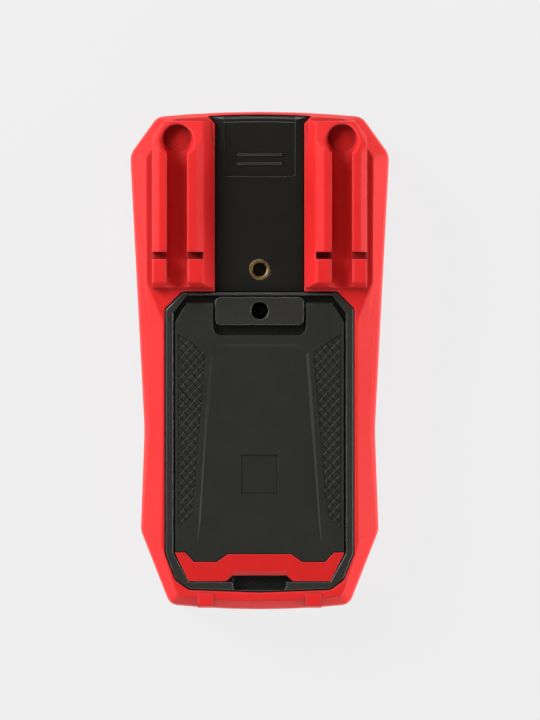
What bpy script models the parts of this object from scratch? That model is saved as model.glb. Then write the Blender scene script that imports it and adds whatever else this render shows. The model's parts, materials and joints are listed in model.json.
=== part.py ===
"""Hand-held digital multimeter in its soft holster, lying on its front with its back up.

Metres. +Z points out of the back, +Y towards the display end, +X to the right seen from the back.
The origin is the middle of the table under the holster's front rim.
"""
import math

import bmesh
import bpy
from mathutils import Matrix, Vector

# Fits and walls
CLEAR = 0.0003
HOLSTER_WALL = 0.0034
HOLSTER_BACK = 0.0034
SHELL_WALL = 0.0022
FACE_WALL = 0.0026

# Outline of the holster seen from the back; a DROP is measured from the top end, a RISE from the low end
LENGTH = 0.180
TOP_WIDTH = 0.0742
TOP_BOW = 0.0018
SHOULDER_WIDTH = 0.0939
SHOULDER_DROP = 0.0155
WAIST_WIDTH = 0.0835
WAIST_Y = -0.025
HIP_WIDTH = 0.0862
HIP_RISE = 0.0285
BOTTOM_WIDTH = 0.0652
BOTTOM_BOW = 0.0017

# Levels and slopes of the holster, from the table up
RIM_PROUD = 0.0045
RIM_INSET = 0.0075
PARTING_Z = 0.0200
SIDE_TOP = 0.0375
BACK_Z = 0.0430
DECK_FALL = 0.0060
TOP_SLOPE = 0.0022
LOW_SLOPE = 0.0038
LEDGE_INSET = 0.0061
FOLD_DEPTH = 0.0016
FOLD_REACH = 0.034

# Probe holders on the back
HOLDER_TOP = 0.0520
HOLDER_LEDGE = 0.0024
HOLDER_LEAN = 0.0037
HOLDER_CHAMFER = 0.0018
CHAMFER_IN = 0.0028
CHAMFER_OUT = 0.0024
RAIL_DROP = 0.0148
COLLAR_DROP = 0.0044
COLLAR_LOW = 0.0056
COLLAR_CORNER = 0.0045
COLLAR_SPREAD = 0.0014
STUB_SPREAD = 0.0031
STUB_DROP = 0.0014
STUB_END_GAP = 0.0038
SLOT_GAP = 0.01305
SLOT_WIDTH = 0.0025
SLOT_FLOOR = 0.0020
CHANNEL_RADIUS = 0.0046
CHANNEL_MOUTH = 0.00725
CHANNEL_FLOOR = 0.0002
KEYHOLE_RADIUS = 0.0050
KEYHOLE_DROP = 0.0103
KEYHOLE_FLARE = 0.0022
FOOT_RIB_X = 0.0194
FOOT_RIB_WIDTH = 0.0057

# Centre panel of the rear shell
PANEL_WIDTH = 0.0315
PANEL_DROP = 0.0020
PANEL_TOP_DROP = 0.0019
PANEL_FLARE = 0.0022
PANEL_CURVE = 0.0050
PANEL_SIDE = 0.0027
PANEL_FALL = 0.0004
WINDOW_TOP_DROP = 0.0043
WINDOW_HEIGHT = 0.0196
WINDOW_WIDTH = 0.0255
WINDOW_DEPTH = 0.0005
BAR_WIDTH = 0.0162
BAR_HEIGHT = 0.0009
BAR_DROP = (0.0161, 0.0193)
TRIPOD_GAP = 0.0082
TRIPOD_OD = 0.0076
TRIPOD_HOLE = 0.0056
TRIPOD_LENGTH = 0.0090
DOOR_INSERT_RADIUS = 0.0022
DOOR_INSERT_LENGTH = 0.0060

# Battery door
DOOR_WIDTH = 0.0676
DOOR_TOP_Y = 0.0245
DOOR_RISE = 0.0070
DOOR_BOW = 0.0009
DOOR_CHAMFER = 0.0061
RIM_WIDTH = 0.0028
RIM_TOP_WIDTH = 0.0011
BEZEL_PROUD = 0.0002
DOOR_FLOOR = 0.0017
TAB_WIDTH = 0.0318
TAB_HEIGHT = 0.0101
TAB_GAP = 0.0017
DOOR_SCREW_GAP = 0.0066
DOOR_SCREW_HOLE = 0.0062
HOOK_X = 0.0180
HOOK_WIDTH = 0.0070
HOOK_THICK = 0.0012
HOOK_REACH = 0.0010
HOOK_RISE = 0.0024

# Kickstand
STAND_WIDTH = 0.0606
STAND_THICK = 0.0034
STAND_END_RISE = 0.0038
HINGE_GAP = 0.0050
EAR_OUTER = 0.0264
NOTCH_WIDTH = 0.0334
NOTCH_GAP = 0.0154
FINGER_WIDTH = 0.0192
FINGER_DEPTH = 0.0021
HINGE_PIN_RADIUS = 0.0008
TRAPEZOID_DEPTH = 0.0005
SQUARE_WIDTH = 0.0134
SQUARE_HEIGHT = 0.0142
SQUARE_RISE = 0.0383
GRIP_DEPTH = 0.0004
FOOT_THICK = 0.0019
FOOT_HEIGHT = 0.0103
FOOT_STEP = 0.0034
CORE_DEPTH = 0.0012
CORE_RIB = 0.0014
CORE_WIDTH = 0.0520
CORE_COLUMNS = 2
CORE_ROWS = 4

# Batteries and their contacts
CELL_DIAMETER = 0.0142
CELL_LENGTH = 0.0492
CELL_PITCH = 0.0149
CELL_COUNT = 4
CELL_GAP = 0.0355
BAY_END_ROOM = 0.0038
BAY_WALL = 0.0016
CONTACT_SHEET = 0.0005
CONTACT_HEIGHT = 0.0125
CONTACT_WIDTH = 0.0084

# Front of the meter
LENS_WIDTH = 0.0580
LENS_TOP_DROP = 0.0190
LENS_LOW_GAP = 0.0135
LENS_THICK = 0.0014
LENS_BORDER = 0.0030
GLASS_THICK = 0.0022
BACKLIGHT_THICK = 0.0028
BUTTON_GAP = 0.0335
BUTTON_PITCH = 0.0175
BUTTON_WIDTH = 0.0125
BUTTON_HEIGHT = 0.0075
BUTTON_PROUD = 0.0012
BUTTON_TRAVEL = 0.0008
KNOB_GAP = 0.0420
KNOB_RADIUS = 0.0200
KNOB_PROUD = 0.0038
SHAFT_RADIUS = 0.0055
ROTOR_RADIUS = 0.0165
ROTOR_THICK = 0.0050
CLICK_STEPS = 16
CLICK_NOTCH = 0.0004
BALL_RADIUS = 0.0016
BALL_X = 0.0156
WIPER_X = 0.0118
WIPER_LENGTH = 0.0120
JACK_RISE = 0.0300
JACK_PITCH = 0.01905
JACK_SHROUD_RADIUS = 0.0053
JACK_OD = 0.0056
JACK_BORE = 0.0041
JACK_DEPTH = 0.0047
JACK_TAIL = 0.0085
JACK_COLLAR = 0.0009
JACK_ROOM = 0.0100

# Board and what stands on it
BOARD_Z = 0.0160
BOARD_THICK = 0.0016
BOARD_MARGIN = 0.0023
FUSE_RADIUS = 0.00515
FUSE_LENGTH = 0.0380
FUSE_CAP = 0.0060
CLIP_WIDTH = 0.0044
FUSE_DROP = (0.0600, 0.0440)
BUZZER_RADIUS = 0.0086
BUZZER_X = 0.0180
BUZZER_DROP = 0.0250
SHUNT_RADIUS = 0.0009
SHUNT_SPAN = 0.0180
SHUNT_HEIGHT = 0.0050
SHUNT_GAP = 0.0120

# Screws
SCREW_RADIUS = 0.0015
SCREW_HEAD_RADIUS = 0.0029
SCREW_HEAD = 0.0020
SCREW_SEAT_Z = 0.0345
POST_RADIUS = 0.0036
TOP_POST_INSET = 0.01245
TOP_POST_DROP = 0.0240
LOW_POST_INSET = 0.0061
LOW_POST_RISE = 0.0160
BOARD_SCREW_INSET = 0.01175
BOARD_SCREW_GAP = 0.0180
BOARD_SCREW_RADIUS = 0.0010
BOARD_SCREW_HEAD_RADIUS = 0.0022
BOARD_SCREW_HEAD = 0.0014
BOARD_SCREW_LENGTH = 0.0072

# Places that follow from the sizes above
TOP_Y = LENGTH / 2
LOW_Y = -LENGTH / 2
SHOULDER_Y = TOP_Y - SHOULDER_DROP
HIP_Y = LOW_Y + HIP_RISE
DOOR_BOTTOM_Y = LOW_Y + DOOR_RISE
STAND_END_Y = DOOR_BOTTOM_Y + STAND_END_RISE
SQUARE_Y = STAND_END_Y + SQUARE_RISE
FOOT_TOP_Y = STAND_END_Y + FOOT_HEIGHT
TAB_TOP_Y = DOOR_TOP_Y - TAB_GAP
TAB_LOW_Y = TAB_TOP_Y - TAB_HEIGHT
DOOR_SCREW_Y = DOOR_TOP_Y - DOOR_SCREW_GAP
HINGE_Y = DOOR_TOP_Y - HINGE_GAP
NOTCH_Y = DOOR_TOP_Y - NOTCH_GAP
PANEL_LOW_Y = DOOR_TOP_Y + CLEAR
PANEL_TOP_Y = TOP_Y - PANEL_TOP_DROP
WINDOW_TOP_Y = TOP_Y - WINDOW_TOP_DROP
WINDOW_BOTTOM_Y = WINDOW_TOP_Y - WINDOW_HEIGHT
TRIPOD_Y = DOOR_TOP_Y + TRIPOD_GAP
LEDGE_X = SHOULDER_WIDTH / 2 - LEDGE_INSET
HOLDER_OUT = LEDGE_X - HOLDER_LEDGE
HOLDER_FOOT_IN = PANEL_WIDTH / 2 + CLEAR + 0.0004
HOLDER_IN = HOLDER_FOOT_IN + HOLDER_LEAN
HOLDER_X = (HOLDER_IN + CHAMFER_IN + HOLDER_OUT - CHAMFER_OUT) / 2
RAIL_TOP_Y = TOP_Y - RAIL_DROP
COLLAR_END_Y = TOP_Y - COLLAR_DROP
STUB_END_Y = DOOR_TOP_Y + STUB_END_GAP
SLOT_Y = DOOR_TOP_Y + SLOT_GAP
KEYHOLE_Y = TOP_Y - KEYHOLE_DROP
JACK_Y = LOW_Y + JACK_RISE
KNOB_Y = JACK_Y + KNOB_GAP
BUTTON_Y = KNOB_Y + BUTTON_GAP
CELL_MID_Y = JACK_Y + CELL_GAP
LENS_HEIGHT = TOP_Y - LENS_TOP_DROP - BUTTON_Y - LENS_LOW_GAP
DISPLAY_Y = BUTTON_Y + LENS_LOW_GAP + LENS_HEIGHT / 2
TOP_POST = (SHOULDER_WIDTH / 2 - TOP_POST_INSET, TOP_Y - TOP_POST_DROP)
LOW_POST = (BOTTOM_WIDTH / 2 - LOW_POST_INSET, LOW_Y + LOW_POST_RISE)

# Levels that follow from the sizes above
DECK_Z = BACK_Z - HOLSTER_BACK - CLEAR
PANEL_Z = BACK_Z - PANEL_DROP
PANEL_FOOT_Z = PANEL_Z - PANEL_DROP - 0.0045
BEZEL_Z = BACK_Z + BEZEL_PROUD
STAND_LOW = BEZEL_Z - STAND_THICK
STAND_MID = BEZEL_Z - STAND_THICK / 2
FLOOR_Z = STAND_LOW - CLEAR
DOOR_LOW = FLOOR_Z - DOOR_FLOOR
TRAY_Z = DOOR_LOW - CLEAR
TRAY_LOW = TRAY_Z - SHELL_WALL
FACE_Z = RIM_PROUD
FACE_IN = FACE_Z + FACE_WALL
CELL_Z = DOOR_LOW - 2 * CLEAR - CELL_DIAMETER / 2
BAY_FLOOR = CELL_Z - CELL_DIAMETER / 2 - CLEAR
BOARD_BACK = BOARD_Z + BOARD_THICK
ROTOR_LOW = FACE_IN + CLEAR + 0.0004
SHELL_INSET = HOLSTER_WALL + CLEAR
ROOM_INSET = SHELL_INSET + SHELL_WALL
BACK_INSET = HOLSTER_WALL + 2 * CLEAR + 0.0033
OVER = 0.001
SMALLEST_CORNER = 0.0015


def clear_scene():
    """Empty the file before anything is made."""
    for item in list(bpy.data.objects):
        bpy.data.objects.remove(item, do_unlink=True)


def new_collection(name):
    """Add a collection to the scene."""
    group = bpy.data.collections.new(name)
    bpy.context.scene.collection.children.link(group)
    return group


clear_scene()
METER = new_collection("digital_multimeter")
CUTTERS = new_collection("cutters")


def finish(name, colour, roughness, metallic=0.0):
    """Make a plain material from a colour, a roughness and a metallic value."""
    material = bpy.data.materials.new(name)
    material.use_nodes = True
    shader = material.node_tree.nodes["Principled BSDF"]
    shader.inputs["Base Color"].default_value = (*colour, 1.0)
    shader.inputs["Roughness"].default_value = roughness
    shader.inputs["Metallic"].default_value = metallic
    material.diffuse_color = (*colour, 1.0)
    return material


RED_RUBBER = finish("red_rubber", (0.80, 0.035, 0.035), 0.55)
BLACK_ABS = finish("black_abs", (0.030, 0.029, 0.026), 0.45)
GREY_ABS = finish("grey_abs", (0.22, 0.22, 0.22), 0.45)
DARK_ABS = finish("dark_abs", (0.05, 0.05, 0.05), 0.4)
CLEAR_LENS = finish("clear_lens", (0.55, 0.6, 0.6), 0.08)
LCD_GREY = finish("lcd_grey", (0.42, 0.47, 0.40), 0.15)
WHITE_PLASTIC = finish("white_plastic", (0.8, 0.8, 0.78), 0.5)
GREEN_BOARD = finish("green_board", (0.02, 0.16, 0.07), 0.45)
SILICONE = finish("silicone", (0.30, 0.30, 0.31), 0.6)
BRASS = finish("brass", (0.72, 0.50, 0.20), 0.3, 1.0)
STEEL = finish("steel", (0.60, 0.60, 0.60), 0.3, 1.0)
CERAMIC = finish("ceramic", (0.85, 0.83, 0.78), 0.35)
CELL_SKIN = finish("cell_skin", (0.10, 0.10, 0.12), 0.35)


def file_in(obj, group, material):
    """Put an object in its collection and give it its material."""
    group.objects.link(obj)
    if material is not None:
        obj.data.materials.clear()
        obj.data.materials.append(material)
    if group == CUTTERS:
        obj.hide_render = True
        obj.display_type = "WIRE"
    return obj


def home(material):
    """A solid with a material is a part of the meter, one without is a cutter."""
    return CUTTERS if material is None else METER


def mirrored(half):
    """Close the right half of an outline, listed clockwise from the top, into a whole one."""
    left = [(-x, y, *rest) for x, y, *rest in reversed(half) if x > 1e-9]
    return half + left


def offset(corners, distance):
    """Move every edge of a clockwise outline outwards, or inwards where the distance is negative."""
    moved = []
    for i, (x, y, *rest) in enumerate(corners):
        here = Vector((x, y))
        along = (here - Vector(corners[i - 1][:2])).normalized()
        ahead = (Vector(corners[(i + 1) % len(corners)][:2]) - here).normalized()
        side = Vector((-along.y, along.x))
        middle = (side + Vector((-ahead.y, ahead.x))).normalized()
        here += middle * (distance / middle.dot(side))
        if rest and rest[0] > 0:
            outward = distance if along.cross(ahead) < 0 else -distance
            rest = (max(rest[0] + outward, min(rest[0], SMALLEST_CORNER)), *rest[1:])
        moved.append((here.x, here.y, *rest))
    return moved


def rounded(corners):
    """Turn corners (x, y, radius, steps) into points, an arc at each corner with a radius."""
    points = []
    for i, (x, y, *rest) in enumerate(corners):
        radius, steps = (*rest, 3)[:2] if rest else (0.0, 0)
        here = Vector((x, y))
        if radius == 0:
            points.append(here)
            continue
        back = Vector(corners[i - 1][:2]) - here
        ahead = Vector(corners[(i + 1) % len(corners)][:2]) - here
        half = back.angle(ahead) / 2
        reach = min(radius / math.tan(half), 0.49 * min(back.length, ahead.length))
        radius = reach * math.tan(half)
        start = back.normalized() * reach
        centre = (back.normalized() + ahead.normalized()).normalized() * (radius / math.sin(half))
        turn = math.copysign(math.pi - 2 * half, ahead.cross(back))
        for k in range(steps + 1):
            spoke = Matrix.Rotation(turn * k / steps, 2) @ (start - centre)
            points.append(here + centre + spoke)
    return points


def box_outline(x, y, width, height, radius=0.0, steps=3):
    """A rectangle round a middle point, clockwise, with its corners rounded alike."""
    right, top = x + width / 2, y + height / 2
    left, low = x - width / 2, y - height / 2
    return [(right, top, radius, steps), (right, low, radius, steps),
            (left, low, radius, steps), (left, top, radius, steps)]


def circle_outline(x, y, radius, steps):
    """A circle as a clockwise run of points."""
    turns = (-2 * math.pi * k / steps for k in range(steps))
    return [(x + radius * math.cos(a), y + radius * math.sin(a)) for a in turns]


def bow(half_width, edge_y, crown_y, steps=3):
    """Points of the right half of an arched edge, from its crown up to just before its corner."""
    rise = abs(crown_y - edge_y)
    radius = (half_width ** 2 + rise ** 2) / (2 * rise)
    sign = math.copysign(1.0, crown_y - edge_y)
    xs = [half_width * k / steps for k in range(steps)]
    return [(x, crown_y - sign * (radius - math.sqrt(radius ** 2 - x ** 2))) for x in xs]


def to_object(name, mesh, material):
    """Turn a finished bmesh into an object with its faces pointing out."""
    bmesh.ops.recalc_face_normals(mesh, faces=mesh.faces)
    data = bpy.data.meshes.new(name)
    mesh.to_mesh(data)
    mesh.free()
    return file_in(bpy.data.objects.new(name, data), home(material), material)


def loft(name, rings, material=None):
    """Skin a stack of (outline, level) rings with like corners; a level may also follow from y."""
    mesh = bmesh.new()
    loops = []
    for outline, level in rings:
        height = level if callable(level) else lambda y, z=level: z
        loops.append([mesh.verts.new((p.x, p.y, height(p.y))) for p in rounded(outline)])
    for low, high in zip(loops, loops[1:]):
        for i in range(len(low)):
            mesh.faces.new((low[i - 1], low[i], high[i], high[i - 1]))
    mesh.faces.new(loops[0])
    mesh.faces.new(loops[-1])
    bmesh.ops.triangulate(mesh, faces=mesh.faces)
    return to_object(name, mesh, material)


def slab(name, outlines, low, high, material=None, axis="Z"):
    """Extrude flat outlines, the inner ones as holes, along an axis between two levels."""
    curve = bpy.data.curves.new(name, "CURVE")
    curve.dimensions = "2D"
    curve.fill_mode = "BOTH"
    curve.extrude = (high - low) / 2
    for outline in outlines:
        points = rounded(outline)
        spline = curve.splines.new("POLY")
        spline.points.add(len(points) - 1)
        for point, place in zip(spline.points, points):
            point.co = (place.x, place.y, 0.0, 1.0)
        spline.use_cyclic_u = True
    guide = bpy.data.objects.new(name + "_outline", curve)
    bpy.context.scene.collection.objects.link(guide)
    bpy.context.view_layer.update()
    graph = bpy.context.evaluated_depsgraph_get()
    data = bpy.data.meshes.new_from_object(guide.evaluated_get(graph))
    bpy.data.objects.remove(guide, do_unlink=True)
    mesh = bmesh.new()
    mesh.from_mesh(data)
    bmesh.ops.remove_doubles(mesh, verts=mesh.verts, dist=1e-6)
    bmesh.ops.translate(mesh, verts=mesh.verts, vec=(0, 0, (low + high) / 2))
    if axis == "X":
        turn = Matrix(((0, 0, 1), (1, 0, 0), (0, 1, 0)))
    elif axis == "Y":
        turn = Matrix(((1, 0, 0), (0, 0, 1), (0, 1, 0)))
    else:
        turn = Matrix.Identity(3)
    bmesh.ops.transform(mesh, matrix=turn.to_4x4(), verts=mesh.verts)
    return to_object(name, mesh, material)


def chamfered(name, outline, low, high, chamfer, material=None, at_low=False):
    """Extrude an outline and chamfer the edge of its high end, or of its low end."""
    if at_low:
        rings = [(offset(outline, -chamfer), low), (outline, low + chamfer), (outline, high)]
    else:
        rings = [(outline, low), (outline, high - chamfer), (offset(outline, -chamfer), high)]
    return loft(name, rings, material)


def block(name, low, high, material=None):
    """A box between two opposite corners."""
    mesh = bmesh.new()
    bmesh.ops.create_cube(mesh, size=1.0)
    size = [b - a for a, b in zip(low, high)]
    middle = [(a + b) / 2 for a, b in zip(low, high)]
    bmesh.ops.scale(mesh, vec=size, verts=mesh.verts)
    bmesh.ops.translate(mesh, vec=middle, verts=mesh.verts)
    return to_object(name, mesh, material)


def rod(name, radius, start, end, material=None, steps=20, end_radius=None):
    """A cylinder, or a cone, from one point on its axis to another."""
    start, end = Vector(start), Vector(end)
    last = radius if end_radius is None else end_radius
    mesh = bmesh.new()
    bmesh.ops.create_cone(mesh, cap_ends=True, segments=steps, radius1=radius, radius2=last,
                          depth=(end - start).length)
    turn = (end - start).to_track_quat("Z", "Y").to_matrix().to_4x4()
    bmesh.ops.transform(mesh, matrix=Matrix.Translation((start + end) / 2) @ turn, verts=mesh.verts)
    return to_object(name, mesh, material)


def turned(name, profile, place, material=None, steps=20, closed=False):
    """Turn a profile of (radius, height) points, top to bottom, round a vertical axis."""
    data = bpy.data.meshes.new(name)
    edges = [(i, i + 1) for i in range(len(profile) - 1)]
    if closed:
        edges.append((len(profile) - 1, 0))
    data.from_pydata([(r, 0.0, z) for r, z in profile], edges, [])
    obj = file_in(bpy.data.objects.new(name, data), home(material), material)
    obj.location = place
    lathe = obj.modifiers.new("turn", "SCREW")
    lathe.steps = steps
    lathe.render_steps = steps
    lathe.use_merge_vertices = True
    lathe.merge_threshold = 1e-6
    return obj


def boolean(body, tool, operation):
    """Apply a tool to a body with an exact Boolean."""
    step = body.modifiers.new(operation.lower() + "_" + tool.name, "BOOLEAN")
    step.operation = operation
    step.solver = "EXACT"
    step.object = tool
    return body


def cut(body, *tools):
    """Take tools away from a body."""
    for tool in tools:
        boolean(body, tool, "DIFFERENCE")
    return body


def fuse(body, *tools):
    """Add tools to a body."""
    for tool in tools:
        boolean(body, tool, "UNION")
    return body


def pivot(name, place):
    """Put an object's origin on its joint's axis and leave its shape where it is."""
    obj = METER.objects[name]
    obj.data.transform(Matrix.Translation(obj.location - Vector(place)))
    obj.location = place


def body_outline():
    """The holster's outline at its widest level."""
    lean = (SHOULDER_WIDTH - WAIST_WIDTH) / 2 / (SHOULDER_Y - WAIST_Y)
    side = [(SHOULDER_WIDTH / 2 - lean * (SHOULDER_Y - y), y) for y in (STUB_END_Y, DOOR_TOP_Y - 0.0104)]
    half = bow(TOP_WIDTH / 2, TOP_Y - TOP_BOW, TOP_Y)
    half += [(TOP_WIDTH / 2, TOP_Y - TOP_BOW, 0.005, 3), (SHOULDER_WIDTH / 2, SHOULDER_Y, 0.006, 3), *side,
             (WAIST_WIDTH / 2, WAIST_Y, 0.060, 2), (HIP_WIDTH / 2, HIP_Y, 0.006, 2),
             (BOTTOM_WIDTH / 2, LOW_Y + BOTTOM_BOW, 0.0045, 3)]
    half += reversed(bow(BOTTOM_WIDTH / 2, LOW_Y + BOTTOM_BOW, LOW_Y))
    return mirrored(half)


def back_outline():
    """The edge of the holster's flat back, corner for corner like body_outline."""
    edge, low = TOP_Y - TOP_SLOPE, LOW_Y + LOW_SLOPE
    door = DOOR_WIDTH / 2 + 0.0010
    top_half, low_half = TOP_WIDTH / 2 - 0.0056, BOTTOM_WIDTH / 2 - 0.0030
    half = bow(top_half, edge - TOP_BOW * 0.7, edge)
    half += [(top_half, edge - TOP_BOW * 0.7, 0.004, 3), (LEDGE_X, SHOULDER_Y - 0.0016, 0.002, 3),
             (LEDGE_X - 0.0002, STUB_END_Y), (door, DOOR_TOP_Y - 0.0104),
             (door, WAIST_Y, 0.060, 2), (door + 0.0005, HIP_Y - 0.0050, 0.004, 2),
             (low_half, low + BOTTOM_BOW, 0.003, 3)]
    half += reversed(bow(low_half, low + BOTTOM_BOW, low))
    return mirrored(half)


def between(inner, outer, share):
    """An outline part of the way from one outline to another with like corners."""
    return [tuple(a + (b - a) * share for a, b in zip(p[:3], q[:3])) + tuple(p[3:])
            for p, q in zip(inner, outer)]


def fold_level(share):
    """Level along a ring of the side slope, raised round the waist where the slope is folded."""
    plain = BACK_Z + (SIDE_TOP - BACK_Z) * share

    def level(y):
        return plain + FOLD_DEPTH * share * max(0.0, 1 - ((y - WAIST_Y) / FOLD_REACH) ** 2)
    return level


def door_outline():
    """The eight-sided edge of the battery door, its bottom slightly bowed."""
    half = [(0.0, DOOR_TOP_Y), (DOOR_WIDTH / 2 - DOOR_CHAMFER, DOOR_TOP_Y, 0.001, 1),
            (DOOR_WIDTH / 2, DOOR_TOP_Y - DOOR_CHAMFER, 0.001, 1),
            (DOOR_WIDTH / 2, DOOR_BOTTOM_Y + 0.0138, 0.003, 2),
            (DOOR_WIDTH / 2 - 0.0037, DOOR_BOTTOM_Y + 0.0043, 0.003, 2),
            (DOOR_WIDTH / 2 - 0.0084, DOOR_BOTTOM_Y + DOOR_BOW, 0.003, 2),
            (0.0, DOOR_BOTTOM_Y)]
    return mirrored(half)


def pocket_outline():
    """The pocket in the door that takes the kickstand."""
    side = DOOR_WIDTH / 2 - RIM_WIDTH
    top = DOOR_TOP_Y - RIM_TOP_WIDTH
    half = [(0.0, top), (side - 0.0050, top), (side, top - 0.0064), (side, DOOR_BOTTOM_Y + 0.0138),
            (side - 0.0056, STAND_END_Y - CLEAR), (0.0, STAND_END_Y - CLEAR)]
    return mirrored(half)


def panel_outline():
    """The centre panel seen from the back, its top end slightly arched and flared."""
    side, flared = PANEL_WIDTH / 2, PANEL_WIDTH / 2 + PANEL_FLARE
    half = bow(flared, PANEL_TOP_Y - 0.0006, PANEL_TOP_Y)
    half += [(flared, PANEL_TOP_Y - 0.0006), (side, PANEL_TOP_Y - 0.0030),
             (side, PANEL_LOW_Y - 0.0040), (0.0, PANEL_LOW_Y - 0.0040)]
    return mirrored(half)


def panel_profile(grow):
    """Side view (y, z) of the raised panel, its top end rolled over; grow widens it for the opening."""
    top, low = PANEL_Z + grow, PANEL_FOOT_Z - grow
    end = PANEL_TOP_Y + 0.0008 + grow
    return [(PANEL_LOW_Y - grow, top), (end, top, PANEL_CURVE, 5), (end, low), (PANEL_LOW_Y - grow, low)]


def make_holster():
    """Soft red holster: a lofted shell with two probe holders and openings front and back."""
    outline = body_outline()
    rim = offset(outline, -0.0011)
    rings = [(offset(outline, -0.0040), 0.0), (offset(outline, -0.0018), 0.0014),
             (offset(outline, -0.0005), 0.0050), (outline, PARTING_Z),
             (offset(outline, -0.0004), SIDE_TOP - 0.004), (rim, SIDE_TOP),
             (between(back_outline(), rim, 0.84), fold_level(0.84)),
             (between(back_outline(), rim, 0.56), fold_level(0.56)), (back_outline(), BACK_Z)]
    body = loft("holster", rings, RED_RUBBER)
    cavity_back = BACK_Z - HOLSTER_BACK
    cavity = loft("holster_cavity", [
        (offset(outline, -HOLSTER_WALL), RIM_PROUD - CLEAR),
        (offset(outline, -HOLSTER_WALL), cavity_back - DECK_FALL),
        (offset(outline, -BACK_INSET), cavity_back)])
    for side in (1, -1):
        fuse(body, holder_block(side))
    for side in (1, -1):
        fuse(body, foot_rib(side))
    for side in (1, -1):
        cut(body, *channel_tools(side))
    opening = slab("holster_front_opening", [offset(outline, -RIM_INSET)], -OVER, RIM_PROUD + OVER)
    door = slab("holster_door_opening", [offset(door_outline(), CLEAR)], SIDE_TOP - 0.003, HOLDER_TOP + OVER)
    panel = slab("holster_panel_opening", [offset(panel_outline(), CLEAR)], PANEL_FOOT_Z - CLEAR,
                 HOLDER_TOP + OVER)
    return cut(body, cavity, opening, door, panel)


def foot_rib(side):
    """One of the two ribs across the bottom edge of the back."""
    top_y = DOOR_BOTTOM_Y - 0.0006
    rings = [(box_outline(side * FOOT_RIB_X, (top_y + end) / 2, FOOT_RIB_WIDTH, top_y - end), z)
             for end, z in ((LOW_Y + 0.0010, SIDE_TOP - 0.0010), (LOW_Y + 0.0020, BACK_Z + 0.0004))]
    return loft(f"foot_rib_{side}", rings)


def holder_block(side):
    """One probe holder before its channel: leaning walls, chamfered rails and a collar that slopes away."""
    collar_z, chamfer_z = HOLDER_TOP - COLLAR_LOW, HOLDER_TOP - HOLDER_CHAMFER
    lean = HOLDER_LEAN / (chamfer_z - BACK_Z)
    chamfer_end = RAIL_TOP_Y + (COLLAR_END_Y - RAIL_TOP_Y) * HOLDER_CHAMFER / COLLAR_LOW
    rings = []
    for z, top_in, out, top_y, corner, low_y in (
            (SIDE_TOP, HOLDER_IN - lean * (chamfer_z - SIDE_TOP), HOLDER_OUT, COLLAR_END_Y + COLLAR_SPREAD,
             COLLAR_CORNER, STUB_END_Y - STUB_SPREAD),
            (collar_z, HOLDER_IN, HOLDER_OUT, COLLAR_END_Y, COLLAR_CORNER, STUB_END_Y - STUB_SPREAD * 0.6),
            (chamfer_z, HOLDER_IN, HOLDER_OUT, chamfer_end, COLLAR_CORNER / 4,
             STUB_END_Y - STUB_SPREAD * 0.2),
            (HOLDER_TOP, HOLDER_IN + CHAMFER_IN, HOLDER_OUT - CHAMFER_OUT, RAIL_TOP_Y, COLLAR_CORNER / 9,
             STUB_END_Y)):
        rail_in = top_in if z > chamfer_z else HOLDER_IN - lean * (chamfer_z - z)
        ring = [(top_in, top_y), (out - corner, top_y), (out, top_y - corner * 1.3), (out, low_y),
                (rail_in, low_y), (rail_in, RAIL_TOP_Y - 0.0010)]
        rings.append(([(side * x, y) for x, y in ring], z))
    return loft(f"holder_block_{side}", rings)


def channel_tools(side):
    """What is cut from a probe holder: the channel, its mouth, the keyhole, the slot and the low stubs."""
    x = side * HOLDER_X
    axis_z = BACK_Z + CHANNEL_FLOOR + CHANNEL_RADIUS
    high = HOLDER_TOP + OVER
    low_y, stub_top = STUB_END_Y - 0.0045, HOLDER_TOP - STUB_DROP
    slot_low, slot_high, slot_floor = SLOT_Y - SLOT_WIDTH / 2, SLOT_Y + SLOT_WIDTH / 2, BACK_Z + SLOT_FLOOR
    ends = sorted((side * (HOLDER_IN + 0.0001), side * (HOLDER_OUT + OVER)))
    bore = rod(f"channel_bore_{side}", CHANNEL_RADIUS, (x, low_y, axis_z), (x, KEYHOLE_Y, axis_z))
    mouth = block(f"channel_mouth_{side}", (x - CHANNEL_MOUTH / 2, low_y, axis_z),
                  (x + CHANNEL_MOUTH / 2, KEYHOLE_Y, high))
    keyhole = rod(f"channel_keyhole_{side}", KEYHOLE_RADIUS, (x, KEYHOLE_Y, BACK_Z + CHANNEL_FLOOR),
                  (x, KEYHOLE_Y, high), steps=24)
    flare = rod(f"channel_flare_{side}", KEYHOLE_RADIUS - 0.0010, (x, KEYHOLE_Y, BACK_Z + 0.0010),
                (x, KEYHOLE_Y, high), steps=24, end_radius=KEYHOLE_RADIUS + KEYHOLE_FLARE)
    stair = [(low_y, stub_top), (slot_low, stub_top), (slot_low, slot_floor), (slot_high, slot_floor),
             (slot_high, high), (low_y, high)]
    step = slab(f"holder_step_{side}", [stair], *ends, axis="X")
    return bore, mouth, keyhole, flare, step


def bay_outline(grow=0.0):
    """The battery bay seen from the back."""
    width = CELL_COUNT * CELL_PITCH + 2 * CLEAR + 2 * grow
    height = CELL_LENGTH + 2 * BAY_END_ROOM + 2 * grow
    return box_outline(0.0, CELL_MID_Y, width, height)


def posts():
    """Middle points of the four case screws."""
    return [(side * x, y) for x, y in (TOP_POST, LOW_POST) for side in (1, -1)]


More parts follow.
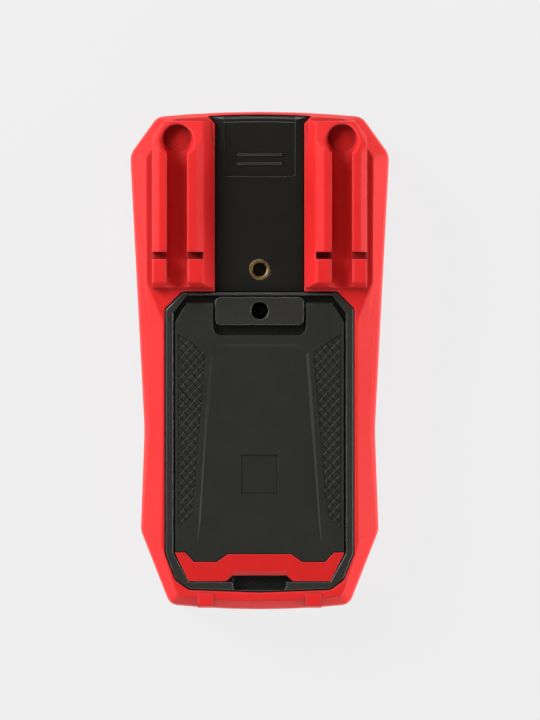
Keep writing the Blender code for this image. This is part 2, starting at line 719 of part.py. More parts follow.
def door_hook(side):
    """One of the door's hooks: a leg through the tray's floor with a toe under it."""
    leg = DOOR_BOTTOM_Y + HOOK_RISE
    toe_top = TRAY_LOW - CLEAR
    toe_low = toe_top - HOOK_THICK
    profile = [(leg + HOOK_THICK, DOOR_LOW + HOOK_THICK / 4), (leg + HOOK_THICK, toe_low),
               (leg - HOOK_REACH, toe_low), (leg - HOOK_REACH, toe_top), (leg, toe_top),
               (leg, DOOR_LOW + HOOK_THICK / 4)]
    middle, half = side * HOOK_X, HOOK_WIDTH / 2
    return slab(f"door_hook_{side}", [profile], middle - half, middle + half, axis="X")


def hook_slot(side):
    """The slot in the tray's floor that lets a hook in."""
    half, leg = HOOK_WIDTH / 2 + CLEAR, DOOR_BOTTOM_Y + HOOK_RISE
    return block(f"hook_slot_{side}", (side * HOOK_X - half, leg - CLEAR, TRAY_LOW - OVER),
                 (side * HOOK_X + half, leg + HOOK_THICK + HOOK_REACH + CLEAR, TRAY_Z + OVER))


def rear_panel():
    """The raised centre panel: a ridge rolled over at its top end, with a gentle slope along each side."""
    ridge = slab("panel_ridge", [panel_profile(0.0)], -PANEL_WIDTH, PANEL_WIDTH, axis="X")
    plan = slab("panel_plan", [panel_outline()], PANEL_FOOT_Z - OVER, HOLDER_TOP)
    boolean(ridge, plan, "INTERSECT")
    flat, edge = PANEL_WIDTH / 2 - PANEL_SIDE, PANEL_WIDTH / 2 + PANEL_FLARE + OVER
    fall = PANEL_FALL * (edge - flat) / PANEL_SIDE
    for side in (1, -1):
        slope = [(side * flat, PANEL_Z), (side * edge, PANEL_Z - fall), (side * edge, PANEL_Z + OVER),
                 (side * flat, PANEL_Z + OVER)]
        cut(ridge, slab(f"panel_side_{side}", [slope], PANEL_LOW_Y - OVER, PANEL_TOP_Y + OVER, axis="Y"))
    return ridge


def make_rear_shell():
    """Black back shell with the raised centre panel, the door tray, the battery bay and screw tubes."""
    outline = body_outline()
    side, room = offset(outline, -SHELL_INSET), offset(outline, -ROOM_INSET)
    shoulder = DECK_Z - DECK_FALL
    skin = [(side, PARTING_Z), (side, shoulder), (offset(outline, -BACK_INSET - CLEAR), DECK_Z)]
    shell = loft("rear_shell", skin, BLACK_ABS)
    hollow = loft("rear_shell_hollow", [
        (room, PARTING_Z - OVER), (room, shoulder - 0.0006),
        (offset(outline, -BACK_INSET - CLEAR - 0.0016), DECK_Z - SHELL_WALL)])
    ridge_hollow = block(
        "panel_hollow", (-PANEL_WIDTH / 2 + SHELL_WALL, PANEL_LOW_Y + SHELL_WALL, PANEL_FOOT_Z - 0.0020),
        (PANEL_WIDTH / 2 - SHELL_WALL, PANEL_TOP_Y - 0.0090, PANEL_Z - SHELL_WALL))
    tray = slab("door_tray", [offset(door_outline(), SHELL_WALL)], TRAY_LOW, DECK_Z - 0.0004)
    limit = offset(outline, -SHELL_INSET - 0.0008)
    boolean(tray, loft("door_tray_limit", [
        (limit, PARTING_Z), (limit, shoulder),
        (offset(outline, -BACK_INSET - CLEAR - 0.0008), DECK_Z - 0.0002)]), "INTERSECT")
    tray_room = slab("door_tray_room", [offset(door_outline(), CLEAR)], TRAY_Z, HOLDER_TOP)
    bay = slab("bay_walls", [bay_outline(BAY_WALL)], BAY_FLOOR - BAY_WALL, TRAY_Z - 0.0004)
    bay_room = slab("bay_room", [bay_outline()], BAY_FLOOR, HOLDER_TOP)
    cut(shell, hollow)
    fuse(shell, rear_panel())
    cut(shell, ridge_hollow)
    fuse(shell, tray, bay)
    cut(shell, tray_room, bay_room)
    cut(shell, hook_slot(1), hook_slot(-1))
    add_rear_bosses(shell)
    add_rear_posts(shell)
    add_panel_window(shell)
    return shell


def add_rear_bosses(shell):
    """Bosses for the two brass inserts: the tripod thread and the door screw's."""
    tripod, screw = (0.0, TRIPOD_Y), (0.0, DOOR_SCREW_Y)
    insert_low = PANEL_Z - TRIPOD_LENGTH
    tray_boss_low = TRAY_Z - DOOR_INSERT_LENGTH - 0.0016
    fuse(shell, rod("tripod_boss", TRIPOD_OD / 2 + 0.0024, (*tripod, insert_low - 0.0016),
                    (*tripod, PANEL_Z - 0.0008)),
         rod("door_screw_boss", DOOR_INSERT_RADIUS + 0.0020, (*screw, tray_boss_low),
             (*screw, TRAY_Z - 0.0005)))
    cut(shell, rod("tripod_bore", TRIPOD_OD / 2 + CLEAR, (*tripod, insert_low - CLEAR), (*tripod, HOLDER_TOP),
                   steps=24),
        rod("door_screw_bore", DOOR_INSERT_RADIUS + CLEAR, (*screw, TRAY_Z - DOOR_INSERT_LENGTH - 0.0004),
            (*screw, HOLDER_TOP)))


def add_rear_posts(shell):
    """Four screw tubes, open towards the back for the screw heads."""
    seat_high = SCREW_SEAT_Z + SCREW_HEAD
    for i, (x, y) in enumerate(posts()):
        fuse(shell, rod(f"rear_post_{i}", POST_RADIUS, (x, y, PARTING_Z), (x, y, seat_high), steps=12))
    for i, (x, y) in enumerate(posts()):
        cut(shell, rod(f"rear_post_hole_{i}", SCREW_RADIUS + CLEAR, (x, y, PARTING_Z - OVER),
                       (x, y, HOLDER_TOP), steps=8),
            rod(f"rear_head_room_{i}", SCREW_HEAD_RADIUS + CLEAR, (x, y, SCREW_SEAT_Z), (x, y, HOLDER_TOP),
                steps=12))


def add_panel_window(shell):
    """The sunk window at the panel's top end with its two raised bars."""
    half, high = WINDOW_WIDTH / 2, WINDOW_TOP_Y + 0.0040
    window = [(half, high), (half, WINDOW_BOTTOM_Y, 0.0006, 1), (-half, WINDOW_BOTTOM_Y, 0.0006, 1),
              (-half, high)]
    cut(shell, slab("panel_window", [window], PANEL_Z - WINDOW_DEPTH, PANEL_Z + OVER))
    for i, drop in enumerate(BAR_DROP):
        bar = box_outline(0.0, TOP_Y - drop, BAR_WIDTH, BAR_HEIGHT)
        fuse(shell, slab(f"panel_bar_{i}", [bar], PANEL_Z - WINDOW_DEPTH - 0.0004, PANEL_Z - 0.0001))


def knob_ring(radius):
    """Inner edge of the click ring: points that step in and out once for each position."""
    turns = [(-math.pi * k / CLICK_STEPS, radius if k % 2 else radius + CLICK_NOTCH)
             for k in range(2 * CLICK_STEPS)]
    return [(r * math.cos(a), KNOB_Y + r * math.sin(a)) for a, r in turns]


def button_xs():
    """Middles of the four function buttons."""
    return [BUTTON_PITCH * (k - 1.5) for k in range(4)]


def jack_xs():
    """Middles of the four input jacks."""
    return [JACK_PITCH * (k - 1.5) for k in range(4)]


def terminal_outline(grow=0.0):
    """The block of input jacks seen from the front."""
    return box_outline(0.0, JACK_Y, 3 * JACK_PITCH + 2 * JACK_SHROUD_RADIUS + 0.0026 + 2 * grow,
                       2 * JACK_SHROUD_RADIUS + 0.0036 + 2 * grow, 0.0025 + grow, 2)


def make_front_shell():
    """Grey front shell: window seat, button and knob holes, a gap for the jacks, screw posts."""
    outline = body_outline()
    side, room = offset(outline, -SHELL_INSET), offset(outline, -ROOM_INSET)
    top = PARTING_Z - CLEAR
    shell = loft("front_shell", [(offset(outline, -SHELL_INSET - 0.0014), FACE_Z), (side, FACE_Z + 0.0015),
                                 (side, top)], GREY_ABS)
    cut(shell, loft("front_shell_hollow", [(offset(outline, -ROOM_INSET - 0.0008), FACE_IN),
                                           (room, FACE_IN + 0.0010), (room, PARTING_Z + OVER)]))
    add_front_posts(shell, top)
    ring = ROTOR_RADIUS + 0.0012
    fuse(shell, slab("click_ring", [circle_outline(0.0, KNOB_Y, ring + 0.0020, 32), knob_ring(ring)],
                     FACE_IN - 0.0005, BOARD_Z - 0.0016))
    cut_face_holes(shell)
    return shell


def add_front_posts(shell, top):
    """Posts for the case screws and the board screws."""
    low = FACE_IN - 0.0005
    for i, (x, y) in enumerate(posts()):
        fuse(shell, rod(f"front_post_{i}", POST_RADIUS, (x, y, low), (x, y, top), steps=12))
    for i, (x, y) in enumerate(board_screws()):
        fuse(shell, rod(f"board_post_{i}", 3 * BOARD_SCREW_RADIUS, (x, y, low), (x, y, BOARD_Z - CLEAR),
                        steps=12))
    for i, (x, y) in enumerate(posts()):
        cut(shell, rod(f"front_post_hole_{i}", SCREW_RADIUS + CLEAR, (x, y, FACE_IN + 0.0010),
                       (x, y, PARTING_Z + OVER), steps=8))
    for i, (x, y) in enumerate(board_screws()):
        cut(shell, rod(f"board_post_hole_{i}", BOARD_SCREW_RADIUS + CLEAR, (x, y, FACE_IN + 0.0030),
                       (x, y, BOARD_Z), steps=8))


def cut_face_holes(shell):
    """Openings of the face: the lens and its seat, the buttons, the knob and the jacks."""
    seat = box_outline(0.0, DISPLAY_Y, LENS_WIDTH + 2 * CLEAR, LENS_HEIGHT + 2 * CLEAR, 0.003, 3)
    view = box_outline(0.0, DISPLAY_Y, LENS_WIDTH - 2 * LENS_BORDER, LENS_HEIGHT - 2 * LENS_BORDER, 0.002, 3)
    cut(shell, slab("lens_seat", [seat], -OVER, FACE_Z + LENS_THICK + CLEAR + 0.0001),
        slab("lens_view", [view], -OVER, FACE_IN + OVER))
    for i, x in enumerate(button_xs()):
        hole = box_outline(x, BUTTON_Y, BUTTON_WIDTH + 2 * CLEAR, BUTTON_HEIGHT + 2 * CLEAR, 0.0030, 2)
        cut(shell, slab(f"button_hole_{i}", [hole], -OVER, FACE_IN + OVER))
    knob = (0.0, KNOB_Y)
    cut(shell, rod("knob_dish", KNOB_RADIUS + 0.0015, (*knob, -OVER), (*knob, FACE_Z + 0.0010), steps=36),
        rod("knob_shaft_hole", SHAFT_RADIUS + CLEAR, (*knob, -OVER), (*knob, FACE_IN + OVER)),
        slab("terminal_gap", [terminal_outline(CLEAR)], -OVER, FACE_IN + 0.0015))


def make_battery_door():
    """Black door: a raised rim round the kickstand's pocket, the screw tab and two hooks underneath."""
    door = chamfered("battery_door", door_outline(), DOOR_LOW, BEZEL_Z, 0.0004, BLACK_ABS)
    cut(door, slab("stand_pocket", [pocket_outline()], FLOOR_Z, BEZEL_Z + OVER))
    tab_mid = (TAB_TOP_Y + TAB_LOW_Y) / 2
    tab = box_outline(0.0, tab_mid, TAB_WIDTH, TAB_HEIGHT, 0.0016, 2)
    fuse(door, slab("screw_tab", [tab], FLOOR_Z - 0.0008, BEZEL_Z - 0.0001))
    fuse(door, door_hook(1), door_hook(-1))
    finger = box_outline(0.0, (STAND_END_Y + DOOR_BOTTOM_Y) / 2 + 0.0012, FINGER_WIDTH, 0.0048, 0.0008, 2)
    screw = (0.0, DOOR_SCREW_Y)
    cut(door, slab("finger_recess", [finger], DOOR_LOW + 0.0010, BEZEL_Z + OVER),
        rod("door_screw_hole", SCREW_RADIUS + CLEAR, (*screw, DOOR_LOW - OVER), (*screw, BEZEL_Z), steps=14),
        rod("door_head_room", DOOR_SCREW_HOLE / 2, (*screw, FLOOR_Z - 0.0003), (*screw, BEZEL_Z + OVER)))
    for side in (1, -1):
        start, end = TAB_WIDTH / 2 + OVER, TAB_WIDTH / 2 - 0.0022
        cut(door, rod(f"hinge_socket_{side}", HINGE_PIN_RADIUS + CLEAR, (side * start, HINGE_Y, STAND_MID),
                      (side * end, HINGE_Y, STAND_MID), steps=14))
    return door


def stand_end():
    """The kickstand's low end, half of it: the sloped corner and the finger notch."""
    side, notch = STAND_WIDTH / 2, FINGER_WIDTH / 2
    return [(side, STAND_END_Y + 0.0100), (side - 0.0049, STAND_END_Y), (notch + 0.0024, STAND_END_Y),
            (notch, STAND_END_Y + FINGER_DEPTH), (0.0, STAND_END_Y + FINGER_DEPTH)]


def stand_outline():
    """The kickstand's plate seen from the back, with the notch for the tab and the finger notch."""
    half = [(0.0, NOTCH_Y), (NOTCH_WIDTH / 2, NOTCH_Y, 0.0030, 3), (NOTCH_WIDTH / 2, HINGE_Y),
            (EAR_OUTER + 0.0006, HINGE_Y), (STAND_WIDTH / 2, HINGE_Y - 0.0056), *stand_end()]
    return mirrored(half)


def strip_step(grow):
    """The foot strip's stepped upper edge, half of it; grow widens it for the seat under it."""
    top, low = FOOT_TOP_Y + grow, FOOT_TOP_Y - FOOT_STEP + grow
    return [(0.0, top - 0.0006), (0.0114 + grow / 2, top - 0.0006), (0.0153 + grow / 2, low),
            (0.0236 - grow / 2, low), (0.0267 - grow / 2, top)]


def strip_outline():
    """The rubber foot strip: a stepped upper edge, the stand's own edge below."""
    return mirrored([*strip_step(0.0), (STAND_WIDTH / 2, FOOT_TOP_Y), *stand_end()])


def strip_seat_outline():
    """The step in the plate under the strip, wider than the strip at its edges."""
    side = STAND_WIDTH / 2 + OVER
    return mirrored([*strip_step(CLEAR), (side, FOOT_TOP_Y + CLEAR), (side, STAND_END_Y - OVER),
                     (0.0, STAND_END_Y - OVER)])


def grip_outline(side):
    """One knurled grip panel beside the recess."""
    edge = STAND_WIDTH / 2 - 0.0010
    half = [(edge, NOTCH_Y + 0.0005), (edge, STAND_END_Y + 0.0187), (edge - 0.0053, STAND_END_Y + 0.0239),
            (edge - 0.0086, HINGE_Y - 0.0337), (edge - 0.0100, NOTCH_Y - 0.0061)]
    return [(side * x, y) for x, y in half]


def recess_outline(low_y, spread):
    """The kickstand's sunk middle panel, narrow at its top; spread is how far its walls have leaned out."""
    top = NOTCH_Y - 0.0042 + spread
    side = STAND_WIDTH / 2 - 0.0091 + spread
    return mirrored([(0.0, top), (side - 0.0080 - spread / 2, top),
                     (side - 0.0046, top - 0.0026 - spread / 2), (side, low_y), (0.0, low_y)])


def make_kickstand():
    """Black kickstand plate with rolled hinge ears, snap-in pins, a sunk middle panel and a cored back."""
    plate = chamfered("kickstand", stand_outline(), STAND_LOW, BEZEL_Z, 0.0003, BLACK_ABS)
    for side in (1, -1):
        inner, outer = side * NOTCH_WIDTH / 2, side * EAR_OUTER
        fuse(plate, rod(f"ear_{side}", STAND_THICK / 2 - 0.00002, (inner, HINGE_Y, STAND_MID),
                        (outer, HINGE_Y, STAND_MID)),
             rod(f"hinge_pin_{side}", HINGE_PIN_RADIUS, (side * (NOTCH_WIDTH / 2 + OVER), HINGE_Y, STAND_MID),
                 (side * (TAB_WIDTH / 2 - 0.0018), HINGE_Y, STAND_MID), steps=12))
    floor, high = BEZEL_Z - TRAPEZOID_DEPTH, BEZEL_Z + 0.0001
    square = box_outline(0.0, SQUARE_Y, SQUARE_WIDTH, SQUARE_HEIGHT)
    cut(plate, loft("middle_recess", [(recess_outline(STAND_END_Y + 0.0212, 0.0), floor),
                                      (recess_outline(STAND_END_Y + 0.0116, 0.0013), high)]),
        slab("square_recess", [square], floor - 0.0004, BEZEL_Z + OVER))
    for side in (1, -1):
        cut(plate, slab(f"grip_panel_{side}", [grip_outline(side)], BEZEL_Z - GRIP_DEPTH, BEZEL_Z + OVER))
    cut(plate, slab("strip_seat", [strip_seat_outline()], BEZEL_Z - FOOT_THICK - CLEAR, BEZEL_Z + OVER))
    cut(plate, *core_tools())
    return plate


def core_tools():
    """Shallow pockets in the hidden side of the kickstand, with a grid of ribs left between them."""
    low_y, high_y = FOOT_TOP_Y + 0.0080, NOTCH_Y - 0.0050
    width = (CORE_WIDTH - (CORE_COLUMNS - 1) * CORE_RIB) / CORE_COLUMNS
    height = (high_y - low_y - (CORE_ROWS - 1) * CORE_RIB) / CORE_ROWS
    for i in range(CORE_COLUMNS):
        for j in range(CORE_ROWS):
            x, y = -CORE_WIDTH / 2 + i * (width + CORE_RIB), low_y + j * (height + CORE_RIB)
            yield block(f"core_{i}_{j}", (x, y, STAND_LOW - OVER),
                        (x + width, y + height, STAND_LOW + CORE_DEPTH))


def make_kickstand_foot():
    """Red rubber strip over the kickstand's lower end, its finger notch edged with a bevel."""
    strip = slab("kickstand_foot", [strip_outline()], BEZEL_Z - FOOT_THICK, BEZEL_Z, RED_RUBBER)
    top, end, half = STAND_END_Y + FINGER_DEPTH, STAND_END_Y - OVER, FINGER_WIDTH / 2
    notch = [(0.0, top + 0.0018), (half + 0.0008, top + 0.0018), (half + 0.0040, end), (0.0, end)]
    low = [(0.0, top - 0.0006), (half - 0.0006, top - 0.0006), (half + 0.0014, end), (0.0, end)]
    return cut(strip, loft("finger_bevel", [(mirrored(low), BEZEL_Z - FOOT_THICK / 2),
                                            (mirrored(notch), BEZEL_Z + 0.0001)]))


def insert_profile(outer, bore, length, collar):
    """A threaded insert: flanged at its top, chamfered at its mouth, open at its end."""
    step = 0.0003
    return [(bore + step, length), (outer, length), (outer, length - collar),
            (outer - step, length - collar - step), (outer - step, 0.0), (bore, 0.0), (bore, length - 0.0004)]


def make_inserts():
    """Brass inserts: the tripod thread in the panel and the one that takes the door screw."""
    turned("tripod_insert", insert_profile(TRIPOD_OD / 2, TRIPOD_HOLE / 2, TRIPOD_LENGTH - 0.0001, 0.0012),
           (0.0, TRIPOD_Y, PANEL_Z - TRIPOD_LENGTH), BRASS, closed=True)
    turned("door_screw_insert",
           insert_profile(DOOR_INSERT_RADIUS, SCREW_RADIUS + CLEAR, DOOR_INSERT_LENGTH, 0.0010),
           (0.0, DOOR_SCREW_Y, TRAY_Z - DOOR_INSERT_LENGTH - 0.0001), BRASS, 10, closed=True)


def make_screw(name, place, head_radius, head, length, shank):
    """A pan-head screw whose head sits with its underside at the place, with a square recess."""
    profile = [(0.0, head), (head_radius * 0.7, head), (head_radius, head * 0.5), (head_radius, 0.0),
               (shank, 0.0), (shank, -length), (0.0, -length)]
    screw = turned(name, profile, place, STEEL, 10)
    x, y, z = place
    recess = rod(f"{name}_recess", 0.0002, (x, y, z + head * 0.3), (x, y, z + head + 0.0001), steps=4,
                 end_radius=head_radius * 0.5)
    return cut(screw, recess)


def board_screws():
    """Middle points of the two screws that hold the board."""
    x, y = WAIST_WIDTH / 2 - BOARD_SCREW_INSET, JACK_Y + BOARD_SCREW_GAP
    return [(x, y), (-x, y)]


def make_screws():
    """Case screws, board screws and the battery door's screw."""
    seat = SCREW_SEAT_Z + CLEAR
    length = seat - FACE_IN - 0.0020
    for i, (x, y) in enumerate(posts()):
        make_screw(f"case_screw_{i + 1}", (x, y, seat), SCREW_HEAD_RADIUS, SCREW_HEAD, length, SCREW_RADIUS)
    for i, (x, y) in enumerate(board_screws()):
        make_screw(f"board_screw_{i + 1}", (x, y, BOARD_BACK + CLEAR), BOARD_SCREW_HEAD_RADIUS,
                   BOARD_SCREW_HEAD, BOARD_SCREW_LENGTH, BOARD_SCREW_RADIUS)
    make_screw("battery_door_screw", (0.0, DOOR_SCREW_Y, FLOOR_Z), 0.0027, 0.0016, FLOOR_Z - TRAY_Z + 0.0055,
               SCREW_RADIUS)


def make_batteries():
    """Four AA cells side by side, the next one always the other way round."""
    radius, half = CELL_DIAMETER / 2, CELL_LENGTH / 2
    profile = [(0.0, half + 0.0010), (0.0027, half + 0.0010), (0.0027, half), (radius, half),
               (radius, -half), (0.0, -half)]
    for i in range(CELL_COUNT):
        x = CELL_PITCH * (i - (CELL_COUNT - 1) / 2)
        cell = turned(f"battery_{i + 1}", profile, (x, CELL_MID_Y, CELL_Z), CELL_SKIN, 16)
        cell.rotation_euler = (math.radians(-90 if i % 2 else 90), 0.0, 0.0)


def contact_profile(end):
    """A folded contact strip (y, z): a back leaf with a bowed tongue that meets the cell."""
    wall = CELL_MID_Y + end * (CELL_LENGTH / 2 + BAY_END_ROOM - CLEAR)
    sheet = end * CONTACT_SHEET
    reach = end * (BAY_END_ROOM - CLEAR - 0.0018)
    fold = wall - sheet - end * 0.0004
    low, high = BAY_FLOOR + CLEAR, BAY_FLOOR + CONTACT_HEIGHT
    nose = CELL_Z - 0.0010
    return [(wall, low), (wall, high), (wall - sheet, high), (wall - sheet, low + 0.0026),
            (wall - reach, nose), (fold, high - 0.0012), (fold - sheet, high - 0.0022),
            (wall - reach - sheet, nose), (wall - sheet, low)]


def make_contacts():
    """Battery contacts: links between neighbours and one terminal at each end of the row."""
    half = (CELL_COUNT - 1) / 2
    spans = [("battery_link_1", 0, 1, -1), ("battery_link_2", 2, 3, -1), ("battery_link_3", 1, 2, 1),
             ("battery_terminal_positive", 0, 0, 1), ("battery_terminal_negative", 3, 3, 1)]
    for name, first, last, end in spans:
        low = CELL_PITCH * (first - half) - CONTACT_WIDTH / 2
        high = CELL_PITCH * (last - half) + CONTACT_WIDTH / 2
        slab(name, [contact_profile(end)], low, high, STEEL, axis="X")


def make_display():
    """Lens, LCD glass, its frame, the backlight and the rubber strip that joins glass and board."""
    slab("display_lens", [box_outline(0.0, DISPLAY_Y, LENS_WIDTH, LENS_HEIGHT, 0.0027, 3)],
         FACE_Z + 0.0001, FACE_Z + 0.0001 + LENS_THICK, CLEAR_LENS)
    wide, high = LENS_WIDTH - 0.0020, LENS_HEIGHT - 0.0020
    low = FACE_IN + CLEAR
    glass_low = low + 0.0009 + CLEAR
    behind = glass_low + GLASS_THICK + CLEAR
    frame = slab("lcd_frame", [box_outline(0.0, DISPLAY_Y, wide + 0.0040, high + 0.0040, 0.001, 1),
                               box_outline(0.0, DISPLAY_Y, wide, high)], low, BOARD_Z - CLEAR, DARK_ABS)
    fuse(frame, slab("lcd_frame_lip", [box_outline(0.0, DISPLAY_Y, wide + 0.0010, high + 0.0010),
                                       box_outline(0.0, DISPLAY_Y, wide - 0.0060, high - 0.0060)],
                     low + 0.00005, low + 0.0009))
    slab("lcd_glass", [box_outline(0.0, DISPLAY_Y, wide - 2 * CLEAR, high - 2 * CLEAR)], glass_low,
         glass_low + GLASS_THICK, LCD_GREY)
    slab("backlight", [box_outline(0.0, DISPLAY_Y + 0.0020, wide - 0.0040, high - 0.0080, 0.001, 1)], behind,
         behind + BACKLIGHT_THICK, WHITE_PLASTIC)
    strip_y = DISPLAY_Y - high / 2 + 0.0018
    slab("zebra_strip", [box_outline(0.0, strip_y, wide - 0.0060, 0.0020)], behind, BOARD_Z - CLEAR, SILICONE)


def make_board():
    """Main circuit board, cut round the screw posts, the jacks and the selector."""
    board = slab("main_board", [offset(body_outline(), -ROOM_INSET - BOARD_MARGIN)], BOARD_Z, BOARD_BACK,
                 GREEN_BOARD)
    holes = [(x, y, POST_RADIUS + 0.0004, 14) for x, y in posts()]
    holes += [(x, y, BOARD_SCREW_RADIUS + CLEAR, 10) for x, y in board_screws()]
    holes += [(x, JACK_Y, JACK_OD / 2 + CLEAR, 14) for x in jack_xs()]
    for i, (x, y, radius, steps) in enumerate(holes):
        cut(board, rod(f"board_hole_{i}", radius, (x, y, BOARD_Z - OVER), (x, y, BOARD_BACK + OVER),
                       steps=steps))
    return board


def make_knob():
    """The knob on its shaft, with a grip bar across it and a pointer line."""
    seat = FACE_Z + 0.0010 - CLEAR
    crown = FACE_Z - KNOB_PROUD
    skirt = crown + 0.0021
    shaft_end = FACE_IN + 0.0048
    profile = [(0.0, shaft_end), (SHAFT_RADIUS, shaft_end), (SHAFT_RADIUS, seat), (KNOB_RADIUS, seat),
               (KNOB_RADIUS, seat - 0.0012), (KNOB_RADIUS - 0.0022, skirt), (0.0, skirt)]
    knob = turned("selector_knob", profile, (0.0, KNOB_Y, 0.0), DARK_ABS, 40)
    bar = box_outline(0.0, KNOB_Y, 2 * KNOB_RADIUS - 0.0060, 0.0095, 0.0030, 3)
    fuse(knob, chamfered("knob_bar", bar, crown, skirt + 0.0005, 0.0007, at_low=True))
    pointer = box_outline(KNOB_RADIUS - 0.0065, KNOB_Y, 0.0070, 0.0014)
    return cut(knob, slab("knob_pointer", [pointer], crown - OVER, crown + 0.0004))


def make_selector():
    """Rotary selector: knob, the click rotor under the face with its sprung balls, and its wipers."""
    make_knob()
    rotor_top = ROTOR_LOW + ROTOR_THICK
    middle = (ROTOR_LOW + rotor_top) / 2
    rotor = slab("selector_rotor", [circle_outline(0.0, KNOB_Y, ROTOR_RADIUS, 32),
                                    circle_outline(0.0, KNOB_Y, SHAFT_RADIUS + CLEAR, 16)],
                 ROTOR_LOW, rotor_top, WHITE_PLASTIC)
    for number, side in ((1, 1), (2, -1)):
        start, end = side * (SHAFT_RADIUS + 0.0020), side * (ROTOR_RADIUS + OVER)
        cut(rotor, rod(f"ball_pocket_{number}", BALL_RADIUS + CLEAR, (start, KNOB_Y, middle),
                       (end, KNOB_Y, middle), steps=12))
        make_ball(f"click_ball_{number}", (side * BALL_X, KNOB_Y, middle))
        make_spring(f"click_spring_{number}", side, middle)
        make_wiper(f"selector_wiper_{number}", side, rotor_top)


def make_wiper(name, side, rotor_top):
    """A bowed brass leaf that slides on the board's tracks."""
    foot, bow_top = rotor_top + CLEAR, rotor_top + 0.0016
    strip = [(-0.0035, foot), (-0.0035, foot + 0.0003), (-0.0010, bow_top), (0.0010, bow_top),
             (0.0035, foot + 0.0003), (0.0035, foot), (0.0011, bow_top - 0.0003), (-0.0011, bow_top - 0.0003)]
    outline = [(side * WIPER_X + x, z) for x, z in strip]
    slab(name, [outline], KNOB_Y - WIPER_LENGTH / 2, KNOB_Y + WIPER_LENGTH / 2, BRASS, axis="Y")


def make_ball(name, place):
    """A small steel ball."""
    mesh = bmesh.new()
    bmesh.ops.create_uvsphere(mesh, u_segments=10, v_segments=6, radius=BALL_RADIUS)
    bmesh.ops.translate(mesh, vec=place, verts=mesh.verts)
    return to_object(name, mesh, STEEL)


def wire(name, points, radius, resolution):
    """A round wire through a row of points, closed at both ends."""
    curve = bpy.data.curves.new(name, "CURVE")
    curve.dimensions = "3D"
    curve.bevel_depth = radius
    curve.bevel_resolution = resolution
    curve.use_fill_caps = True
    spline = curve.splines.new("POLY")
    spline.points.add(len(points) - 1)
    for point, place in zip(spline.points, points):
        point.co = (*place, 1.0)
    return file_in(bpy.data.objects.new(name, curve), METER, STEEL)


def make_spring(name, side, middle):
    """A coil spring that lies across the rotor and presses its ball outwards."""
    turns, per_turn, gauge = 4, 6, 0.00022
    coil = BALL_RADIUS - gauge - 0.0001
    start, end = SHAFT_RADIUS + 0.0025, BALL_X - BALL_RADIUS - CLEAR
    count = turns * per_turn
    points = []
    for k in range(count + 1):
        angle = 2 * math.pi * k / per_turn
        points.append((side * (start + (end - start) * k / count), KNOB_Y + coil * math.cos(angle),
                       middle + coil * math.sin(angle)))
    return wire(name, points, gauge, 0)


def make_buttons():
    """Four function buttons with a flange behind the face, over one silicone key mat."""
    flange_low = FACE_IN + CLEAR
    stem = flange_low + 0.0020
    for i, x in enumerate(button_xs()):
        edge = box_outline(x, BUTTON_Y, BUTTON_WIDTH, BUTTON_HEIGHT, 0.0027, 2)
        cap = chamfered(f"function_button_{i + 1}", edge, FACE_Z - BUTTON_PROUD, flange_low + 0.0006, 0.0005,
                        DARK_ABS, at_low=True)
        flange = box_outline(x, BUTTON_Y, BUTTON_WIDTH + 0.0026, BUTTON_HEIGHT + 0.0026)
        fuse(cap, slab(f"button_flange_{i}", [flange], flange_low, flange_low + 0.0009),
             slab(f"button_stem_{i}", [box_outline(x, BUTTON_Y, 0.0050, 0.0050)], flange_low + 0.0003, stem))
    mat_high = BOARD_Z - CLEAR
    mat_low = mat_high - 0.0012
    mat = slab("key_mat", [box_outline(0.0, BUTTON_Y, 4 * BUTTON_PITCH - 0.0040, 0.0120, 0.002, 2)], mat_low,
               mat_high, SILICONE)
    for i, x in enumerate(button_xs()):
        fuse(mat, rod(f"key_dome_{i}", 0.0042, (x, BUTTON_Y, mat_low + 0.0004),
                      (x, BUTTON_Y, stem + BUTTON_TRAVEL + CLEAR), steps=14, end_radius=0.0026))


def make_jacks():
    """Insulating terminal block with four deep sockets, and the brass tubes soldered to the board."""
    block_top = BOARD_Z - CLEAR
    body = slab("terminal_block", [terminal_outline()], FACE_Z, block_top, DARK_ABS)
    for i, x in enumerate(jack_xs()):
        start = (x, JACK_Y, -OVER)
        cut(body, rod(f"shroud_room_{i}", JACK_SHROUD_RADIUS, start, (x, JACK_Y, FACE_Z + JACK_ROOM), steps=16),
            rod(f"tube_room_{i}", JACK_OD / 2 + CLEAR, start, (x, JACK_Y, block_top + OVER), steps=16))
    mouth, end, collar = FACE_Z + JACK_DEPTH, BOARD_BACK + JACK_TAIL, BOARD_BACK + 0.0010
    outer, bore = JACK_OD / 2, JACK_BORE / 2
    profile = [(0.0, end), (outer, end), (outer, collar), (outer + JACK_COLLAR, collar),
               (outer + JACK_COLLAR, BOARD_BACK + CLEAR), (outer, BOARD_BACK + CLEAR), (outer, mouth),
               (bore, mouth), (bore, end - 0.0010), (0.0, end - 0.0010)]
    for name, x in zip(("jack_amps", "jack_milliamps", "jack_common", "jack_volts"), jack_xs()):
        turned(name, profile, (x, JACK_Y, 0.0), BRASS, 12)


def clip_profile(y, base):
    """A fuse clip seen from its end (y, z): two arms that hug the fuse, and the fuse's level."""
    axis_z = base + CONTACT_SHEET + CLEAR + FUSE_RADIUS
    inner, outer = FUSE_RADIUS + CLEAR, FUSE_RADIUS + CLEAR + CONTACT_SHEET
    sweep = [math.radians(200 - 220 * k / 8) for k in range(9)]
    ring = [(y + inner * math.cos(a), axis_z - inner * math.sin(a)) for a in sweep]
    back = [(y + outer * math.cos(a), axis_z - outer * math.sin(a)) for a in reversed(sweep)]
    return ring + back, axis_z


